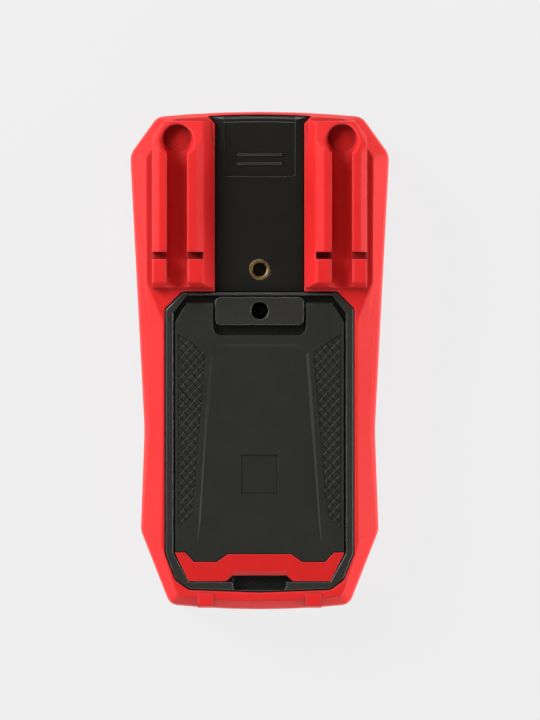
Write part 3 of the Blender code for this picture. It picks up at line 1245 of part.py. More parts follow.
def make_fuses():
    """Two ceramic fuses with turned end caps, each in a pair of sprung clips on the board."""
    base = BOARD_BACK + CLEAR
    body, half, cap = FUSE_RADIUS - 0.0003, FUSE_LENGTH / 2, FUSE_LENGTH / 2 - FUSE_CAP
    profile = [(0.0, half), (FUSE_RADIUS, half), (FUSE_RADIUS, cap), (body, cap), (body, -cap),
               (FUSE_RADIUS, -cap), (FUSE_RADIUS, -half), (0.0, -half)]
    for i, drop in enumerate(FUSE_DROP):
        y = TOP_Y - drop
        outline, axis_z = clip_profile(y, base)
        fuse_body = turned(f"fuse_{i + 1}", profile, (0.0, y, axis_z), CERAMIC, 16)
        fuse_body.rotation_euler = (0.0, math.radians(90), 0.0)
        for number, side in ((1, 1), (2, -1)):
            low = side * (half - FUSE_CAP / 2) - CLIP_WIDTH / 2
            slab(f"fuse_clip_{2 * i + number}", [outline], low, low + CLIP_WIDTH, BRASS, axis="X")


def make_board_parts():
    """Buzzer and the heavy current shunt on the back of the board."""
    base = BOARD_BACK + CLEAR
    turned("buzzer", [(0.0, 0.0028), (0.0016, 0.0028), (0.0016, 0.0034), (BUZZER_RADIUS - 0.0006, 0.0034),
                      (BUZZER_RADIUS, 0.0028), (BUZZER_RADIUS, 0.0), (0.0, 0.0)],
           (BUZZER_X, TOP_Y - BUZZER_DROP, base), DARK_ABS, 16)
    half, y, foot = SHUNT_SPAN / 2, JACK_Y - SHUNT_GAP, base + 0.0001
    spring_line = foot + 0.0030
    arch = [(-half * math.cos(math.pi * k / 10), y, spring_line + SHUNT_HEIGHT * math.sin(math.pi * k / 10))
            for k in range(11)]
    wire("current_shunt", [(-half, y, foot), *arch, (half, y, foot)], SHUNT_RADIUS, 1)


def hang_moving_pieces():
    """Give every moving piece an origin on its joint's axis."""
    for name in ("kickstand", "kickstand_foot"):
        pivot(name, (0.0, HINGE_Y, STAND_MID))
    for name in ("selector_rotor", "selector_wiper_1", "selector_wiper_2", "click_ball_1", "click_ball_2",
                 "click_spring_1", "click_spring_2"):
        pivot(name, (0.0, KNOB_Y, 0.0))
    for i, x in enumerate(button_xs()):
        pivot(f"function_button_{i + 1}", (x, BUTTON_Y, FACE_Z))


def build():
    """Make every piece of the meter."""
    make_holster()
    make_rear_shell()
    make_front_shell()
    make_battery_door()
    make_kickstand()
    make_kickstand_foot()
    make_inserts()
    make_screws()
    make_batteries()
    make_contacts()
    make_display()
    make_board()
    make_selector()
    make_buttons()
    make_jacks()
    make_fuses()
    make_board_parts()
    hang_moving_pieces()


build()
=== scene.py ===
# %% [markdown]
# # A hand-held multimeter, seen from the back
# The meter lies on its front in a soft red holster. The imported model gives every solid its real
# size and place. This script is the second half of the work: it gives each solid the surface that
# its maker gave it, and adds what is too fine for the solids, such as the knurled grips.

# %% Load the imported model
import json
import math

import bmesh
import bpy
from mathutils import Matrix, Vector

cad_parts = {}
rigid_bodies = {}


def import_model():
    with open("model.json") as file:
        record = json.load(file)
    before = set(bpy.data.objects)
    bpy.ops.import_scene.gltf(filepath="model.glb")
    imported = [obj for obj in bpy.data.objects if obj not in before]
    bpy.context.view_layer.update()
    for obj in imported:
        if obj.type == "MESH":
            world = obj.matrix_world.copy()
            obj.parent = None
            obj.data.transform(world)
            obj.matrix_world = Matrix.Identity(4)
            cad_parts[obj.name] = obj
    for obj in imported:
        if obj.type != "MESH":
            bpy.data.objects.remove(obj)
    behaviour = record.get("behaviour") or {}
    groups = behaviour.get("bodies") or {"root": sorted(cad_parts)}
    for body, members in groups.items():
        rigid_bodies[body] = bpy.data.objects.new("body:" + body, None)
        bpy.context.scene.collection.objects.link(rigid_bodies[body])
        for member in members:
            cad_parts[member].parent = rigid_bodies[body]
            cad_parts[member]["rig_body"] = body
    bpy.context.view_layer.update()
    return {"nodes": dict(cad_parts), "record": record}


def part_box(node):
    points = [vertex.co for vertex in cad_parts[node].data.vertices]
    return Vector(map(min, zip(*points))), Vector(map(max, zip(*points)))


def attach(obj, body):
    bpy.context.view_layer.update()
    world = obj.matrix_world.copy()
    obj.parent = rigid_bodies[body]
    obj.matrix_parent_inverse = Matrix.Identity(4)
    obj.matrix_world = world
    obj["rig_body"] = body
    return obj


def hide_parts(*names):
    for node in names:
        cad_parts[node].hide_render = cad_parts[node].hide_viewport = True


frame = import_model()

MM = 0.001
SLOT_OF = {part["node"]: part["material_slot"] for part in frame["record"]["subparts"]}
print("nodes:", len(frame["nodes"]), "slots:", sorted(set(SLOT_OF.values())))

# %% [markdown]
# ## The camera
# The picture is a product shot from straight above, taken from far away with a long lens, so the
# walls hardly lean outwards. One millimetre of the meter is 2.783 pixels of the picture, and the
# meter sits a little left of the picture's middle. The distance is free: a longer one with a
# longer lens keeps the frame and flattens the view.

# %% Set the camera
PICTURE_WIDTH, PICTURE_HEIGHT = 540, 720
PIXELS_PER_MM = 2.783
MIDDLE_PIXEL = (259.6, 360.5)
CAMERA_DISTANCE = 2.2  # metres above the level that the picture's scale holds for
SHARP_LEVEL = 0.040
SENSOR = 36.0  # mm, the width of a full-frame picture

view_height = PICTURE_HEIGHT / PIXELS_PER_MM * MM
camera_data = bpy.data.cameras.new("camera")
camera_data.sensor_width = SENSOR
camera_data.lens = SENSOR * CAMERA_DISTANCE / view_height
camera = bpy.data.objects.new("camera", camera_data)
camera.location = ((PICTURE_WIDTH / 2 - MIDDLE_PIXEL[0]) / PIXELS_PER_MM * MM,
                   (MIDDLE_PIXEL[1] - PICTURE_HEIGHT / 2) / PIXELS_PER_MM * MM,
                   SHARP_LEVEL + CAMERA_DISTANCE)
bpy.context.scene.collection.objects.link(camera)
bpy.context.scene.camera = camera
print("lens:", round(camera_data.lens), "mm")

# %% [markdown]
# ## Colours and nodes
# Paint and plastic are matched as sRGB hex values, but a shader calculates in linear light.
# One function turns the first into the second. A second one adds a node, sets it and links it, so
# that each finish below reads as a short list.

# %% Helpers for colours and nodes
def linear(hex_colour):
    """Turn an sRGB hex colour into the linear values that a shader works with."""
    shares = [int(hex_colour[i:i + 2], 16) / 255 for i in (1, 3, 5)]
    return (*[s / 12.92 if s <= 0.04045 else ((s + 0.055) / 1.055) ** 2.4 for s in shares], 1.0)


def add(tree, kind, feeds=None, **settings):
    """Add a node. Settings are its properties, feeds its inputs' values or the outputs they get."""
    node = tree.nodes.new(kind)
    for name, value in settings.items():
        setattr(node, name, value)
    for name, value in (feeds or {}).items():
        if isinstance(value, bpy.types.NodeSocket):
            tree.links.new(value, node.inputs[name])
        else:
            node.inputs[name].default_value = value
    return node


def ramp(tree, source, stops):
    """Turn a value into a colour by stops of (position, colour)."""
    node = add(tree, "ShaderNodeValToRGB", {"Fac": source})
    node.color_ramp.elements[0].position, node.color_ramp.elements[0].color = stops[0]
    node.color_ramp.elements[1].position, node.color_ramp.elements[1].color = stops[-1]
    for position, colour in stops[1:-1]:
        node.color_ramp.elements.new(position).color = colour
    return node.outputs["Color"]


# %% [markdown]
# ## Floor and light
# The shot is a light table with soft boxes. The floor glows nearly white by itself, so the meter
# leaves no shade on it and the walls get light from below. A box at the upper left is the main
# light: it stands well off the camera's axis, which keeps its sheen off the dark flats, and square
# to one set of the knurl's grooves, which makes that set shine and leaves the other dark. Strips
# close to the floor light the outer slopes only, because the probe holders shade what lies between
# them. Small boxes beyond the two ends draw the bright lines along the panel's rolled edge and the
# upper edge of the kickstand's recess.

# %% Build the floor and the lamps
scene = bpy.context.scene
scene.view_settings.view_transform = "Standard"
scene.view_settings.look = "None"
FLOOR_SIZE = 6.0
LAMP_AIM = (0, 0, 0.04)
FLOOR_GLOW = 0.818
FLOOR_PAINT = "#383838"
WORLD_LIGHT = 0.11


def make_floor():
    """A wide glowing sheet under the meter."""
    mesh = bmesh.new()
    bmesh.ops.create_grid(mesh, x_segments=1, y_segments=1, size=FLOOR_SIZE / 2)
    data = bpy.data.meshes.new("floor")
    mesh.to_mesh(data)
    mesh.free()
    floor = bpy.data.objects.new("floor", data)
    scene.collection.objects.link(floor)
    paint = bpy.data.materials.new("light_table")
    paint.use_nodes = True
    shader = paint.node_tree.nodes["Principled BSDF"]
    shader.inputs["Base Color"].default_value = linear(FLOOR_PAINT)
    shader.inputs["Roughness"].default_value = 0.9
    shader.inputs["Specular IOR Level"].default_value = 0.1
    shader.inputs["Emission Color"].default_value = (1.0, 1.0, 1.0, 1.0)
    shader.inputs["Emission Strength"].default_value = FLOOR_GLOW
    data.materials.append(paint)


def make_lamp(name, place, size, power):
    """A soft box that points at the meter's middle."""
    lamp = bpy.data.lights.new(name, "AREA")
    lamp.shape = "RECTANGLE"
    lamp.size, lamp.size_y = size
    lamp.energy = power
    box = bpy.data.objects.new(name, lamp)
    box.location = place
    box.rotation_euler = (Vector(LAMP_AIM) - Vector(place)).to_track_quat("-Z", "Y").to_euler()
    scene.collection.objects.link(box)


make_floor()
LAMPS = {  # place in metres, width and height in metres, power in watts
    "box_upper_left": ((-0.70, 0.45, 0.62), (0.6, 0.6), 10.8),
    "box_right": ((0.90, -0.10, 0.30), (0.9, 0.4), 3.8),
    "strip_right": ((0.75, 0.0, 0.07), (0.9, 0.08), 3.6),
    "strip_left": ((-0.75, 0.0, 0.07), (0.9, 0.08), 2.7),
    "box_near": ((0.0, -0.66, 0.48), (0.5, 0.12), 1.6),
    "box_far": ((0.0, 0.85, 0.62), (0.3, 0.08), 1.7),
}
for lamp_name, (place, size, power) in LAMPS.items():
    make_lamp(lamp_name, place, size, power)
world = bpy.data.worlds.new("studio")
world.use_nodes = True
world.node_tree.nodes["Background"].inputs["Color"].default_value = (1.0, 1.0, 1.0, 1.0)
world.node_tree.nodes["Background"].inputs["Strength"].default_value = WORLD_LIGHT
scene.world = world
print("lamps:", len(LAMPS))

# %% [markdown]
# ## Moulded plastics and rubber
# Nearly every piece here is moulded. A mould leaves three marks: a fine even grain from its etched
# wall, a slight cloudiness of colour from the flow, and edges rounded by the cutter that made it.
# Two more marks are painted into the colour: edges lighter, partly as wear from hands and partly as a
# painted highlight, and a painted shade that darkens corners, channels and recesses where walls stand
# close.
# One function makes all of them, with the sizes in millimetres, so each plastic below is a line.

# %% Moulded finishes
# Painted shade in corners, channels and recesses: how far it reaches and how much colour it leaves.
PAINTED_SHADE_REACH = 8.0  # mm within which a wall darkens a corner
PAINTED_SHADE_SHARE = 0.40  # the share of the colour that is left in a deep corner
CLOUD_SIZE = 9.0  # mm


def moulded(name, colour, shade, roughness, grain, round_mm, edge_wear_and_highlight, gloss=0.5):
    """A moulded plastic or rubber. Grain is a width and height in mm; the colour after the edge radius
    is that of the lighter edges, partly wear and partly a painted highlight.
    """
    material = bpy.data.materials.new(name)
    material.use_nodes = True
    tree = material.node_tree
    shader = tree.nodes["Principled BSDF"]
    place = add(tree, "ShaderNodeTexCoord").outputs["Object"]
    cloud = add(tree, "ShaderNodeTexNoise", {"Vector": place, "Detail": 3.0,
                                             "Scale": 1 / (CLOUD_SIZE * MM)})
    colours = ramp(tree, cloud.outputs["Fac"], [(0.30, linear(shade)), (0.70, linear(colour))])
    edge = add(tree, "ShaderNodeBevel", {"Radius": round_mm * MM}, samples=6)
    flat = add(tree, "ShaderNodeNewGeometry").outputs["Normal"]
    turn = add(tree, "ShaderNodeVectorMath", {0: edge.outputs["Normal"], 1: flat},
               operation="DOT_PRODUCT")
    # Edges are painted lighter: partly wear from hands, partly a painted highlight.
    wear_and_highlight_mask = add(tree, "ShaderNodeMapRange", {"Value": turn.outputs["Value"], "From Min": 0.97,
                                           "From Max": 0.80, "To Max": 0.55})
    with_wear_and_highlight = add(tree, "ShaderNodeMix", {"Factor": wear_and_highlight_mask.outputs["Result"], 6: colours, 7: linear(edge_wear_and_highlight)},
                 data_type="RGBA")
    # Painted shade: where walls stand close, the colour darkens towards a deep share of the cloudier
    # shade.
    depth = add(tree, "ShaderNodeAmbientOcclusion", {"Distance": PAINTED_SHADE_REACH * MM}, samples=8)
    painted_shade_mask = add(tree, "ShaderNodeMapRange", {"Value": depth.outputs["AO"], "From Min": 0.95,
                                              "From Max": 0.35, "To Max": 1.0})
    dark = (*[share * PAINTED_SHADE_SHARE for share in linear(shade)[:3]], 1.0)
    with_painted_shade = add(tree, "ShaderNodeMix", {"Factor": painted_shade_mask.outputs["Result"], 6: with_wear_and_highlight.outputs[2],
                                         7: dark}, data_type="RGBA")
    tree.links.new(with_painted_shade.outputs[2], shader.inputs["Base Color"])
    pits = add(tree, "ShaderNodeTexNoise", {"Vector": place, "Detail": 2.0,
                                            "Scale": 1 / (grain[0] * MM)})
    dull = add(tree, "ShaderNodeMapRange", {"Value": pits.outputs["Fac"],
                                            "To Min": roughness - 0.06, "To Max": roughness + 0.06})
    tree.links.new(dull.outputs["Result"], shader.inputs["Roughness"])
    bump = add(tree, "ShaderNodeBump", {"Height": pits.outputs["Fac"], "Normal": edge.outputs["Normal"],
                                        "Strength": 0.5, "Distance": grain[1] * MM})
    tree.links.new(bump.outputs["Normal"], shader.inputs["Normal"])
    shader.inputs["Specular IOR Level"].default_value = gloss
    return material


# In each line: the colour and its cloudier shade, roughness, grain, edge radius in mm, colour of the
# lighter edges (partly wear, partly painted highlight) and, where it isn't the usual half, gloss.
FINISHES = {
    # Soft elastomer: dull, with wide round edges painted a little lighter, partly as wear and partly as
    # a painted highlight.
    "red_rubber": moulded("holster_rubber", "#e92929", "#e52525", 0.52, (0.35, 0.012), 1.40,
                          "#f05050", 0.18),
    # ABS from an etched mould: an even, faintly shining grain.
    "black_abs": moulded("textured_black_abs", "#161613", "#131310", 0.36, (0.30, 0.012), 0.25,
                         "#2c2c29"),
    "grey_abs": moulded("textured_grey_abs", "#57585a", "#525355", 0.48, (0.30, 0.014), 0.30,
                        "#66676a"),
    # Finer mould walls give the knob and the buttons a satin touch.
    "dark_abs": moulded("satin_dark_abs", "#2a2b2c", "#262728", 0.38, (0.25, 0.010), 0.30,
                        "#3c3d3e"),
    "white_plastic": moulded("white_polycarbonate", "#e2e2dc", "#d8d8d2", 0.45, (0.30, 0.010), 0.20,
                             "#ebebe6"),
    # Silicone scatters nearly all its light: no sheen at all.
    "silicone": moulded("grey_silicone", "#8a8b8d", "#828385", 0.60, (0.35, 0.010), 0.30, "#949597"),
    # A shrunk sleeve is smooth and shines more than what it covers.
    "cell_skin": moulded("cell_sleeve", "#2c2d31", "#27282c", 0.32, (0.50, 0.006), 0.25, "#38393d"),
    "ceramic": moulded("fuse_ceramic", "#e8e2d4", "#dfd9cb", 0.30, (0.40, 0.006), 0.20, "#eee9dd"),
    # Solder mask is a lacquer: the cloudiness is the copper under it.
    "green_board": moulded("solder_mask", "#14602f", "#125528", 0.34, (0.60, 0.006), 0.10, "#1d7a3e"),
}
SPECIAL = {
    # A polished mould: broad edges that draw soft bright lines, their colour painted lighter, partly as
    # wear and partly as a painted highlight.
    "battery_door": moulded("glossy_black_abs", "#31312d", "#2d2d29", 0.27, (0.30, 0.004), 0.90,
                            "#484743"),
    "rear_shell": moulded("fine_black_abs", "#191916", "#151512", 0.32, (0.30, 0.006), 0.30,
                          "#3a3a37"),
    # The foot is harder than the holster, so its edges are crisper and catch more light; they are also
    # painted lighter, partly as wear and partly as a painted highlight.
    "kickstand_foot": moulded("stand_foot_rubber", "#d9211f", "#d21e1c", 0.46, (0.35, 0.012), 0.45,
                              "#f06464", 0.28),
    # Glass fibre makes nylon stiff and leaves its skin dull and slightly grey.
    "kickstand": moulded("charcoal_filled_nylon", "#272823", "#23241f", 0.50, (0.30, 0.014), 0.25,
                         "#3a3a35", 0.28),
}
KNURLED = moulded("knurled_nylon", "#272823", "#23241f", 0.36, (0.30, 0.010), 0.05, "#4a4a45")
print("moulded finishes:", len(FINISHES) + len(SPECIAL) + 1)

# %% [markdown]
# ## Metals
# The inserts and jacks are turned brass and the screws are zinc-plated steel. Both show fine marks
# round the axis they were turned on, which stands upright here, so a noise squeezed along that axis
# drives their colour and roughness, and neither is a mirror. The door's screw is blackened steel.

# %% Metal finishes
def turned_metal(name, colour, shade, roughness, ring_mm):
    """A turned metal: its colours vary fast along the turning axis and slowly round it."""
    material = bpy.data.materials.new(name)
    material.use_nodes = True
    tree = material.node_tree
    shader = tree.nodes["Principled BSDF"]
    place = add(tree, "ShaderNodeTexCoord").outputs["Object"]
    stretched = add(tree, "ShaderNodeMapping", {"Vector": place, "Scale": (0.2, 0.2, 1.0)})
    marks = add(tree, "ShaderNodeTexNoise", {"Vector": stretched.outputs["Vector"], "Detail": 3.0,
                                             "Scale": 1 / (ring_mm * MM)})
    colours = ramp(tree, marks.outputs["Fac"], [(0.35, linear(shade)), (0.65, linear(colour))])
    tree.links.new(colours, shader.inputs["Base Color"])
    gloss = add(tree, "ShaderNodeMapRange", {"Value": marks.outputs["Fac"],
                                             "To Min": roughness - 0.08, "To Max": roughness + 0.08})
    tree.links.new(gloss.outputs["Result"], shader.inputs["Roughness"])
    shader.inputs["Metallic"].default_value = 1.0
    edge = add(tree, "ShaderNodeBevel", {"Radius": 0.12 * MM}, samples=6)
    tree.links.new(edge.outputs["Normal"], shader.inputs["Normal"])
    return material


FINISHES["brass"] = turned_metal("turned_brass", "#e2c894", "#c0a06c", 0.30, 0.35)
FINISHES["steel"] = turned_metal("plated_steel", "#c6c8ca", "#a9abad", 0.30, 0.30)
SPECIAL["battery_door_screw"] = turned_metal("blackened_steel", "#1c1b1a", "#131211", 0.42, 0.30)
print("finishes:", len(FINISHES))

# %% [markdown]
# ## Window and glass
# The display's window is clear acrylic with a hard coat, and the cell behind it is glass over a grey
# reflector. Both are nearly smooth, and only the window lets light through.

# %% Clear finishes
def clear(name, colour, roughness, through, ior):
    """Acrylic or glass with a faint unevenness."""
    material = bpy.data.materials.new(name)
    material.use_nodes = True
    tree = material.node_tree
    shader = tree.nodes["Principled BSDF"]
    shader.inputs["Base Color"].default_value = linear(colour)
    shader.inputs["Transmission Weight"].default_value = through
    shader.inputs["IOR"].default_value = ior
    place = add(tree, "ShaderNodeTexCoord").outputs["Object"]
    haze = add(tree, "ShaderNodeTexNoise", {"Vector": place, "Scale": 1 / (12 * MM), "Detail": 2.0})
    gloss = add(tree, "ShaderNodeMapRange", {"Value": haze.outputs["Fac"],
                                             "To Min": roughness * 0.7, "To Max": roughness * 1.3})
    tree.links.new(gloss.outputs["Result"], shader.inputs["Roughness"])
    return material


FINISHES["clear_lens"] = clear("clear_acrylic", "#eef2f2", 0.05, 0.95, 1.49)
FINISHES["lcd_grey"] = clear("display_glass", "#9aa596", 0.12, 0.0, 1.52)

# %% [markdown]
# ## From solids to surfaces
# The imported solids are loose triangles. A copy of each visible one gets its triangles joined, its
# flat faces merged and its shading smoothed up to a sharp edge, and stands for the solid from then
# on. Pieces that are hidden inside keep their mesh and only get a finish.

# %% Dress the solids
SHARP = math.radians(17)
FLAT = math.radians(0.5)
PLAIN = {"click_ball_1", "click_ball_2", "click_spring_1", "click_spring_2", "zebra_strip", "backlight"}


def dress(node, finish):
    """Copy a CAD node with its triangles joined and smoothed, and let the copy stand for it."""
    solid = frame["nodes"][node]
    mesh = bmesh.new()
    mesh.from_mesh(solid.data)
    bmesh.ops.remove_doubles(mesh, verts=mesh.verts, dist=1e-6)
    bmesh.ops.dissolve_limit(mesh, angle_limit=FLAT, verts=mesh.verts, edges=mesh.edges)
    for face in mesh.faces:
        face.smooth = True
    for edge in mesh.edges:
        edge.smooth = len(edge.link_faces) == 2 and edge.calc_face_angle() < SHARP
    data = bpy.data.meshes.new(f"{node}_surface")
    mesh.to_mesh(data)
    mesh.free()
    data.materials.append(finish)
    piece = bpy.data.objects.new(f"{node}_surface", data)
    scene.collection.objects.link(piece)
    weigh = piece.modifiers.new("even_shading", "WEIGHTED_NORMAL")
    weigh.keep_sharp = True
    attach(piece, solid["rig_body"])
    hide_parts(node)


for node, solid in frame["nodes"].items():
    finish = SPECIAL.get(node, FINISHES[SLOT_OF[node]])
    if node in PLAIN:
        solid.data.materials.clear()
        solid.data.materials.append(finish)
    else:
        dress(node, finish)
print("dressed:", len(frame["nodes"]) - len(PLAIN))

# %% [markdown]
# ## Shapes made by a rule
# The knurl, the thread and the dial's marks repeat by a rule, so Geometry Nodes make them. Each tree
# has its sizes as named inputs. The helper below runs a tree once and keeps the plain mesh that it
# gives, because a part that is handed on should carry no live modifiers.

# %% Helpers for Geometry Nodes
def new_recipe(name, sizes):
    """Start a tree whose inputs are the sizes it works by, and give back its input sockets."""
    tree = bpy.data.node_groups.new(name, "GeometryNodeTree")
    tree.interface.new_socket("Geometry", in_out="INPUT", socket_type="NodeSocketGeometry")
    for label, kind in {**sizes, "Finish": "Material"}.items():
        tree.interface.new_socket(label, in_out="INPUT", socket_type=f"NodeSocket{kind}")
    tree.interface.new_socket("Geometry", in_out="OUTPUT", socket_type="NodeSocketGeometry")
    return tree, tree.nodes.new("NodeGroupInput").outputs


def end_recipe(tree, shape, sizes):
    """End a tree: make instances real and give the shape its finish."""
    real = add(tree, "GeometryNodeRealizeInstances", {"Geometry": shape})
    painted = add(tree, "GeometryNodeSetMaterial", {"Geometry": real.outputs[0],
                                                    "Material": sizes["Finish"]})
    add(tree, "NodeGroupOutput", {"Geometry": painted.outputs[0]})


def bake(name, tree, values, body, start=None):
    """Run a tree on a starting mesh, keep the plain mesh that comes out, and let it ride on a body."""
    host = bpy.data.objects.new(f"{name}_host", start or bpy.data.meshes.new(f"{name}_start"))
    scene.collection.objects.link(host)
    recipe = host.modifiers.new("recipe", "NODES")
    recipe.node_group = tree
    for item in tree.interface.items_tree:
        if item.in_out == "INPUT" and item.name in values:
            recipe[item.identifier] = values[item.name]
    data = bpy.data.meshes.new_from_object(host.evaluated_get(bpy.context.evaluated_depsgraph_get()))
    bpy.data.objects.remove(host)
    data.name = name
    piece = bpy.data.objects.new(name, data)
    scene.collection.objects.link(piece)
    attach(piece, body)
    print(name, "faces:", len(data.polygons))


# %% [markdown]
# ## The knurled grips
# Two panels of the kickstand are knurled so that a thumb can push it open. Two sets of V-grooves
# cross and leave rows of diamonds, trimmed by the panel's edge. The tree does the same: it takes a
# thin plate of the panel's outline and cuts both sets of grooves from it. Their flanks lean about 40
# degrees, so those that face the main light shine and the others go dark. A bump map would look
# right from above, but it would stay flat along the edge.

# %% Knurl the grips
PLATE_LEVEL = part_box("kickstand")[1].z
GRIP_FLOOR = PLATE_LEVEL - 0.4 * MM
GRIP_TOP = PLATE_LEVEL - 0.12 * MM
SUNK = 0.1 * MM
GRIP_CORNERS = [(29.1, 9.1), (29.1, -60.1), (24.1, -55.1), (20.9, -14.2), (19.5, 3.2)]
KNURL = {"Spacing": 2.31 * MM, "Angle": math.radians(41.9), "Groove Width": 0.62 * MM,
         "Depth": 0.27 * MM, "Level": GRIP_TOP, "Grooves": 48, "Length": 100 * MM}
KNURL_CROSSING = (25.6, -23.5)

# A groove's cutter is a square bar that stands on its edge, squeezed to the groove's width and depth.
tree, sizes = new_recipe("knurl", {"Spacing": "Float", "Angle": "Float", "Groove Width": "Float",
                                   "Depth": "Float", "Level": "Float", "Grooves": "Int",
                                   "Length": "Float", "Middle": "Vector"})
bar = add(tree, "GeometryNodeMeshCylinder", {"Vertices": 4, "Radius": 1.0, "Depth": sizes["Length"]})
half_width = add(tree, "ShaderNodeMath", {0: sizes["Groove Width"], 1: 0.5}, operation="MULTIPLY")
section = add(tree, "ShaderNodeCombineXYZ", {"X": half_width.outputs[0], "Y": sizes["Depth"], "Z": 1.0})
laid = add(tree, "GeometryNodeTransform", {"Geometry": bar.outputs["Mesh"], "Scale": section.outputs[0],
                                           "Rotation": (math.radians(90), 0.0, 0.0)})
step = add(tree, "ShaderNodeCombineXYZ", {"X": sizes["Spacing"]})
reach = add(tree, "ShaderNodeMath", {0: sizes["Grooves"], 1: -0.5}, operation="MULTIPLY")
first = add(tree, "ShaderNodeVectorMath", {0: step.outputs[0], "Scale": reach.outputs[0]},
            operation="SCALE")
row = add(tree, "GeometryNodeMeshLine", {"Count": sizes["Grooves"], "Start Location": first.outputs[0],
                                         "Offset": step.outputs[0]})
combs = add(tree, "GeometryNodeInstanceOnPoints", {"Points": row.outputs[0],
                                                   "Instance": laid.outputs[0]})
comb = add(tree, "GeometryNodeRealizeInstances", {"Geometry": combs.outputs[0]})
up = add(tree, "ShaderNodeCombineXYZ", {"Z": sizes["Level"]})
middle = add(tree, "ShaderNodeVectorMath", {0: up.outputs[0], 1: sizes["Middle"]}, operation="ADD")
shape = sizes["Geometry"]
for sense in (1, -1):
    turn = add(tree, "ShaderNodeMath", {0: sizes["Angle"], 1: sense}, operation="MULTIPLY")
    heading = add(tree, "ShaderNodeCombineXYZ", {"Z": turn.outputs[0]})
    placed = add(tree, "GeometryNodeTransform", {"Geometry": comb.outputs[0],
                                                 "Translation": middle.outputs[0],
                                                 "Rotation": heading.outputs[0]})
    cut = add(tree, "GeometryNodeMeshBoolean", {0: shape, 1: placed.outputs[0]},
              operation="DIFFERENCE", solver="EXACT")
    shape = cut.outputs[0]
end_recipe(tree, shape, sizes)


def prism(name, corners, low, high):
    """A closed plate from an outline in millimetres."""
    mesh = bmesh.new()
    rings = [[mesh.verts.new((x * MM, y * MM, z)) for x, y in corners] for z in (low, high)]
    count = len(corners)
    mesh.faces.new(rings[0][::-1])
    mesh.faces.new(rings[1])
    for i in range(count):
        j = (i + 1) % count
        mesh.faces.new((rings[0][i], rings[0][j], rings[1][j], rings[1][i]))
    bmesh.ops.recalc_face_normals(mesh, faces=mesh.faces)
    data = bpy.data.meshes.new(name)
    mesh.to_mesh(data)
    mesh.free()
    return data


for side, sign in (("right", 1), ("left", -1)):
    corners = [(sign * x, y) for x, y in GRIP_CORNERS]
    blank = prism(f"knurl_blank_{side}", corners, GRIP_FLOOR - SUNK, GRIP_TOP)
    crossing = (sign * KNURL_CROSSING[0] * MM, KNURL_CROSSING[1] * MM, 0.0)
    bake(f"knurled_grip_{side}", tree, {**KNURL, "Middle": crossing, "Finish": KNURLED}, "stand",
         blank)

# %% [markdown]
# ## The tripod thread
# The brass insert in the middle panel takes a tripod's screw, 20 threads to the inch. Its bore is a
# plain hole in the solid, because a thread would cost thousands of faces there. Here a ridge of
# diamond section follows a spiral along the wall of the bore, as the crests of the real thread do.

# %% Cut the thread
INSERT_LOW, INSERT_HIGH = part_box("tripod_insert")
THREAD_PITCH = 1.27  # mm, 20 threads to the inch
THREAD_TURNS = 6.0
BORE_RADIUS = 2.8
CREST = 0.30
LEAD_IN = 0.4

tree, sizes = new_recipe("thread", {"Turns": "Float", "Radius": "Float", "Height": "Float",
                                    "Crest": "Float", "Start": "Vector"})
spiral = add(tree, "GeometryNodeCurveSpiral", {"Resolution": 24, "Rotations": sizes["Turns"],
                                               "Start Radius": sizes["Radius"],
                                               "End Radius": sizes["Radius"],
                                               "Height": sizes["Height"]})
upright = add(tree, "GeometryNodeSetCurveNormal", {"Curve": spiral.outputs[0]}, mode="Z_UP")
crest = add(tree, "GeometryNodeCurvePrimitiveCircle", {"Resolution": 4, "Radius": sizes["Crest"]})
ridge = add(tree, "GeometryNodeCurveToMesh", {"Curve": upright.outputs[0], "Fill Caps": True,
                                              "Profile Curve": crest.outputs[0]})
moved = add(tree, "GeometryNodeTransform", {"Geometry": ridge.outputs[0],
                                            "Translation": sizes["Start"]})
end_recipe(tree, moved.outputs[0], sizes)
thread_middle = (INSERT_LOW + INSERT_HIGH) / 2
bake("tripod_thread", tree, {
    "Turns": THREAD_TURNS, "Radius": BORE_RADIUS * MM, "Height": THREAD_TURNS * THREAD_PITCH * MM,
    "Crest": CREST * MM, "Start": (thread_middle.x, thread_middle.y, INSERT_LOW.z + LEAD_IN * MM),
    "Finish": FINISHES["brass"]}, "meter")

# %% [markdown]
# ## The dial's marks
# The front is printed with one mark for each of the selector's nine positions. Pad printing leaves a
# film of ink a few hundredths of a millimetre thick, so the marks are thin plates on the face, set
# out by turning one plate in equal steps round the knob.

# %% Print the dial
KNOB_LOW, KNOB_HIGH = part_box("selector_knob")
FACE_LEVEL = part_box("front_shell")[0].z
DIAL_POSITIONS = 9
MARK_RADIUS = 23.6
MARK = (2.2, 0.6, 0.08)
tree, sizes = new_recipe("dial_marks", {"Count": "Int", "Step": "Float", "Radius": "Float",
                                        "Mark": "Vector", "Middle": "Vector"})
plate = add(tree, "GeometryNodeMeshCube", {"Size": sizes["Mark"]})
out = add(tree, "ShaderNodeCombineXYZ", {"X": sizes["Radius"]})
mark = add(tree, "GeometryNodeTransform", {"Geometry": plate.outputs[0],
                                           "Translation": out.outputs[0]})
spots = add(tree, "GeometryNodeMeshLine", {"Count": sizes["Count"], "Offset": (0.0, 0.0, 0.0)})
number = add(tree, "GeometryNodeInputIndex")
angle = add(tree, "ShaderNodeMath", {0: number.outputs[0], 1: sizes["Step"]},
            operation="MULTIPLY")
heading = add(tree, "ShaderNodeCombineXYZ", {"Z": angle.outputs[0]})
ring = add(tree, "GeometryNodeInstanceOnPoints", {"Points": spots.outputs[0],
                                                  "Instance": mark.outputs[0],
                                                  "Rotation": heading.outputs[0]})
moved = add(tree, "GeometryNodeTransform", {"Geometry": ring.outputs[0],
                                            "Translation": sizes["Middle"]})
end_recipe(tree, moved.outputs[0], sizes)
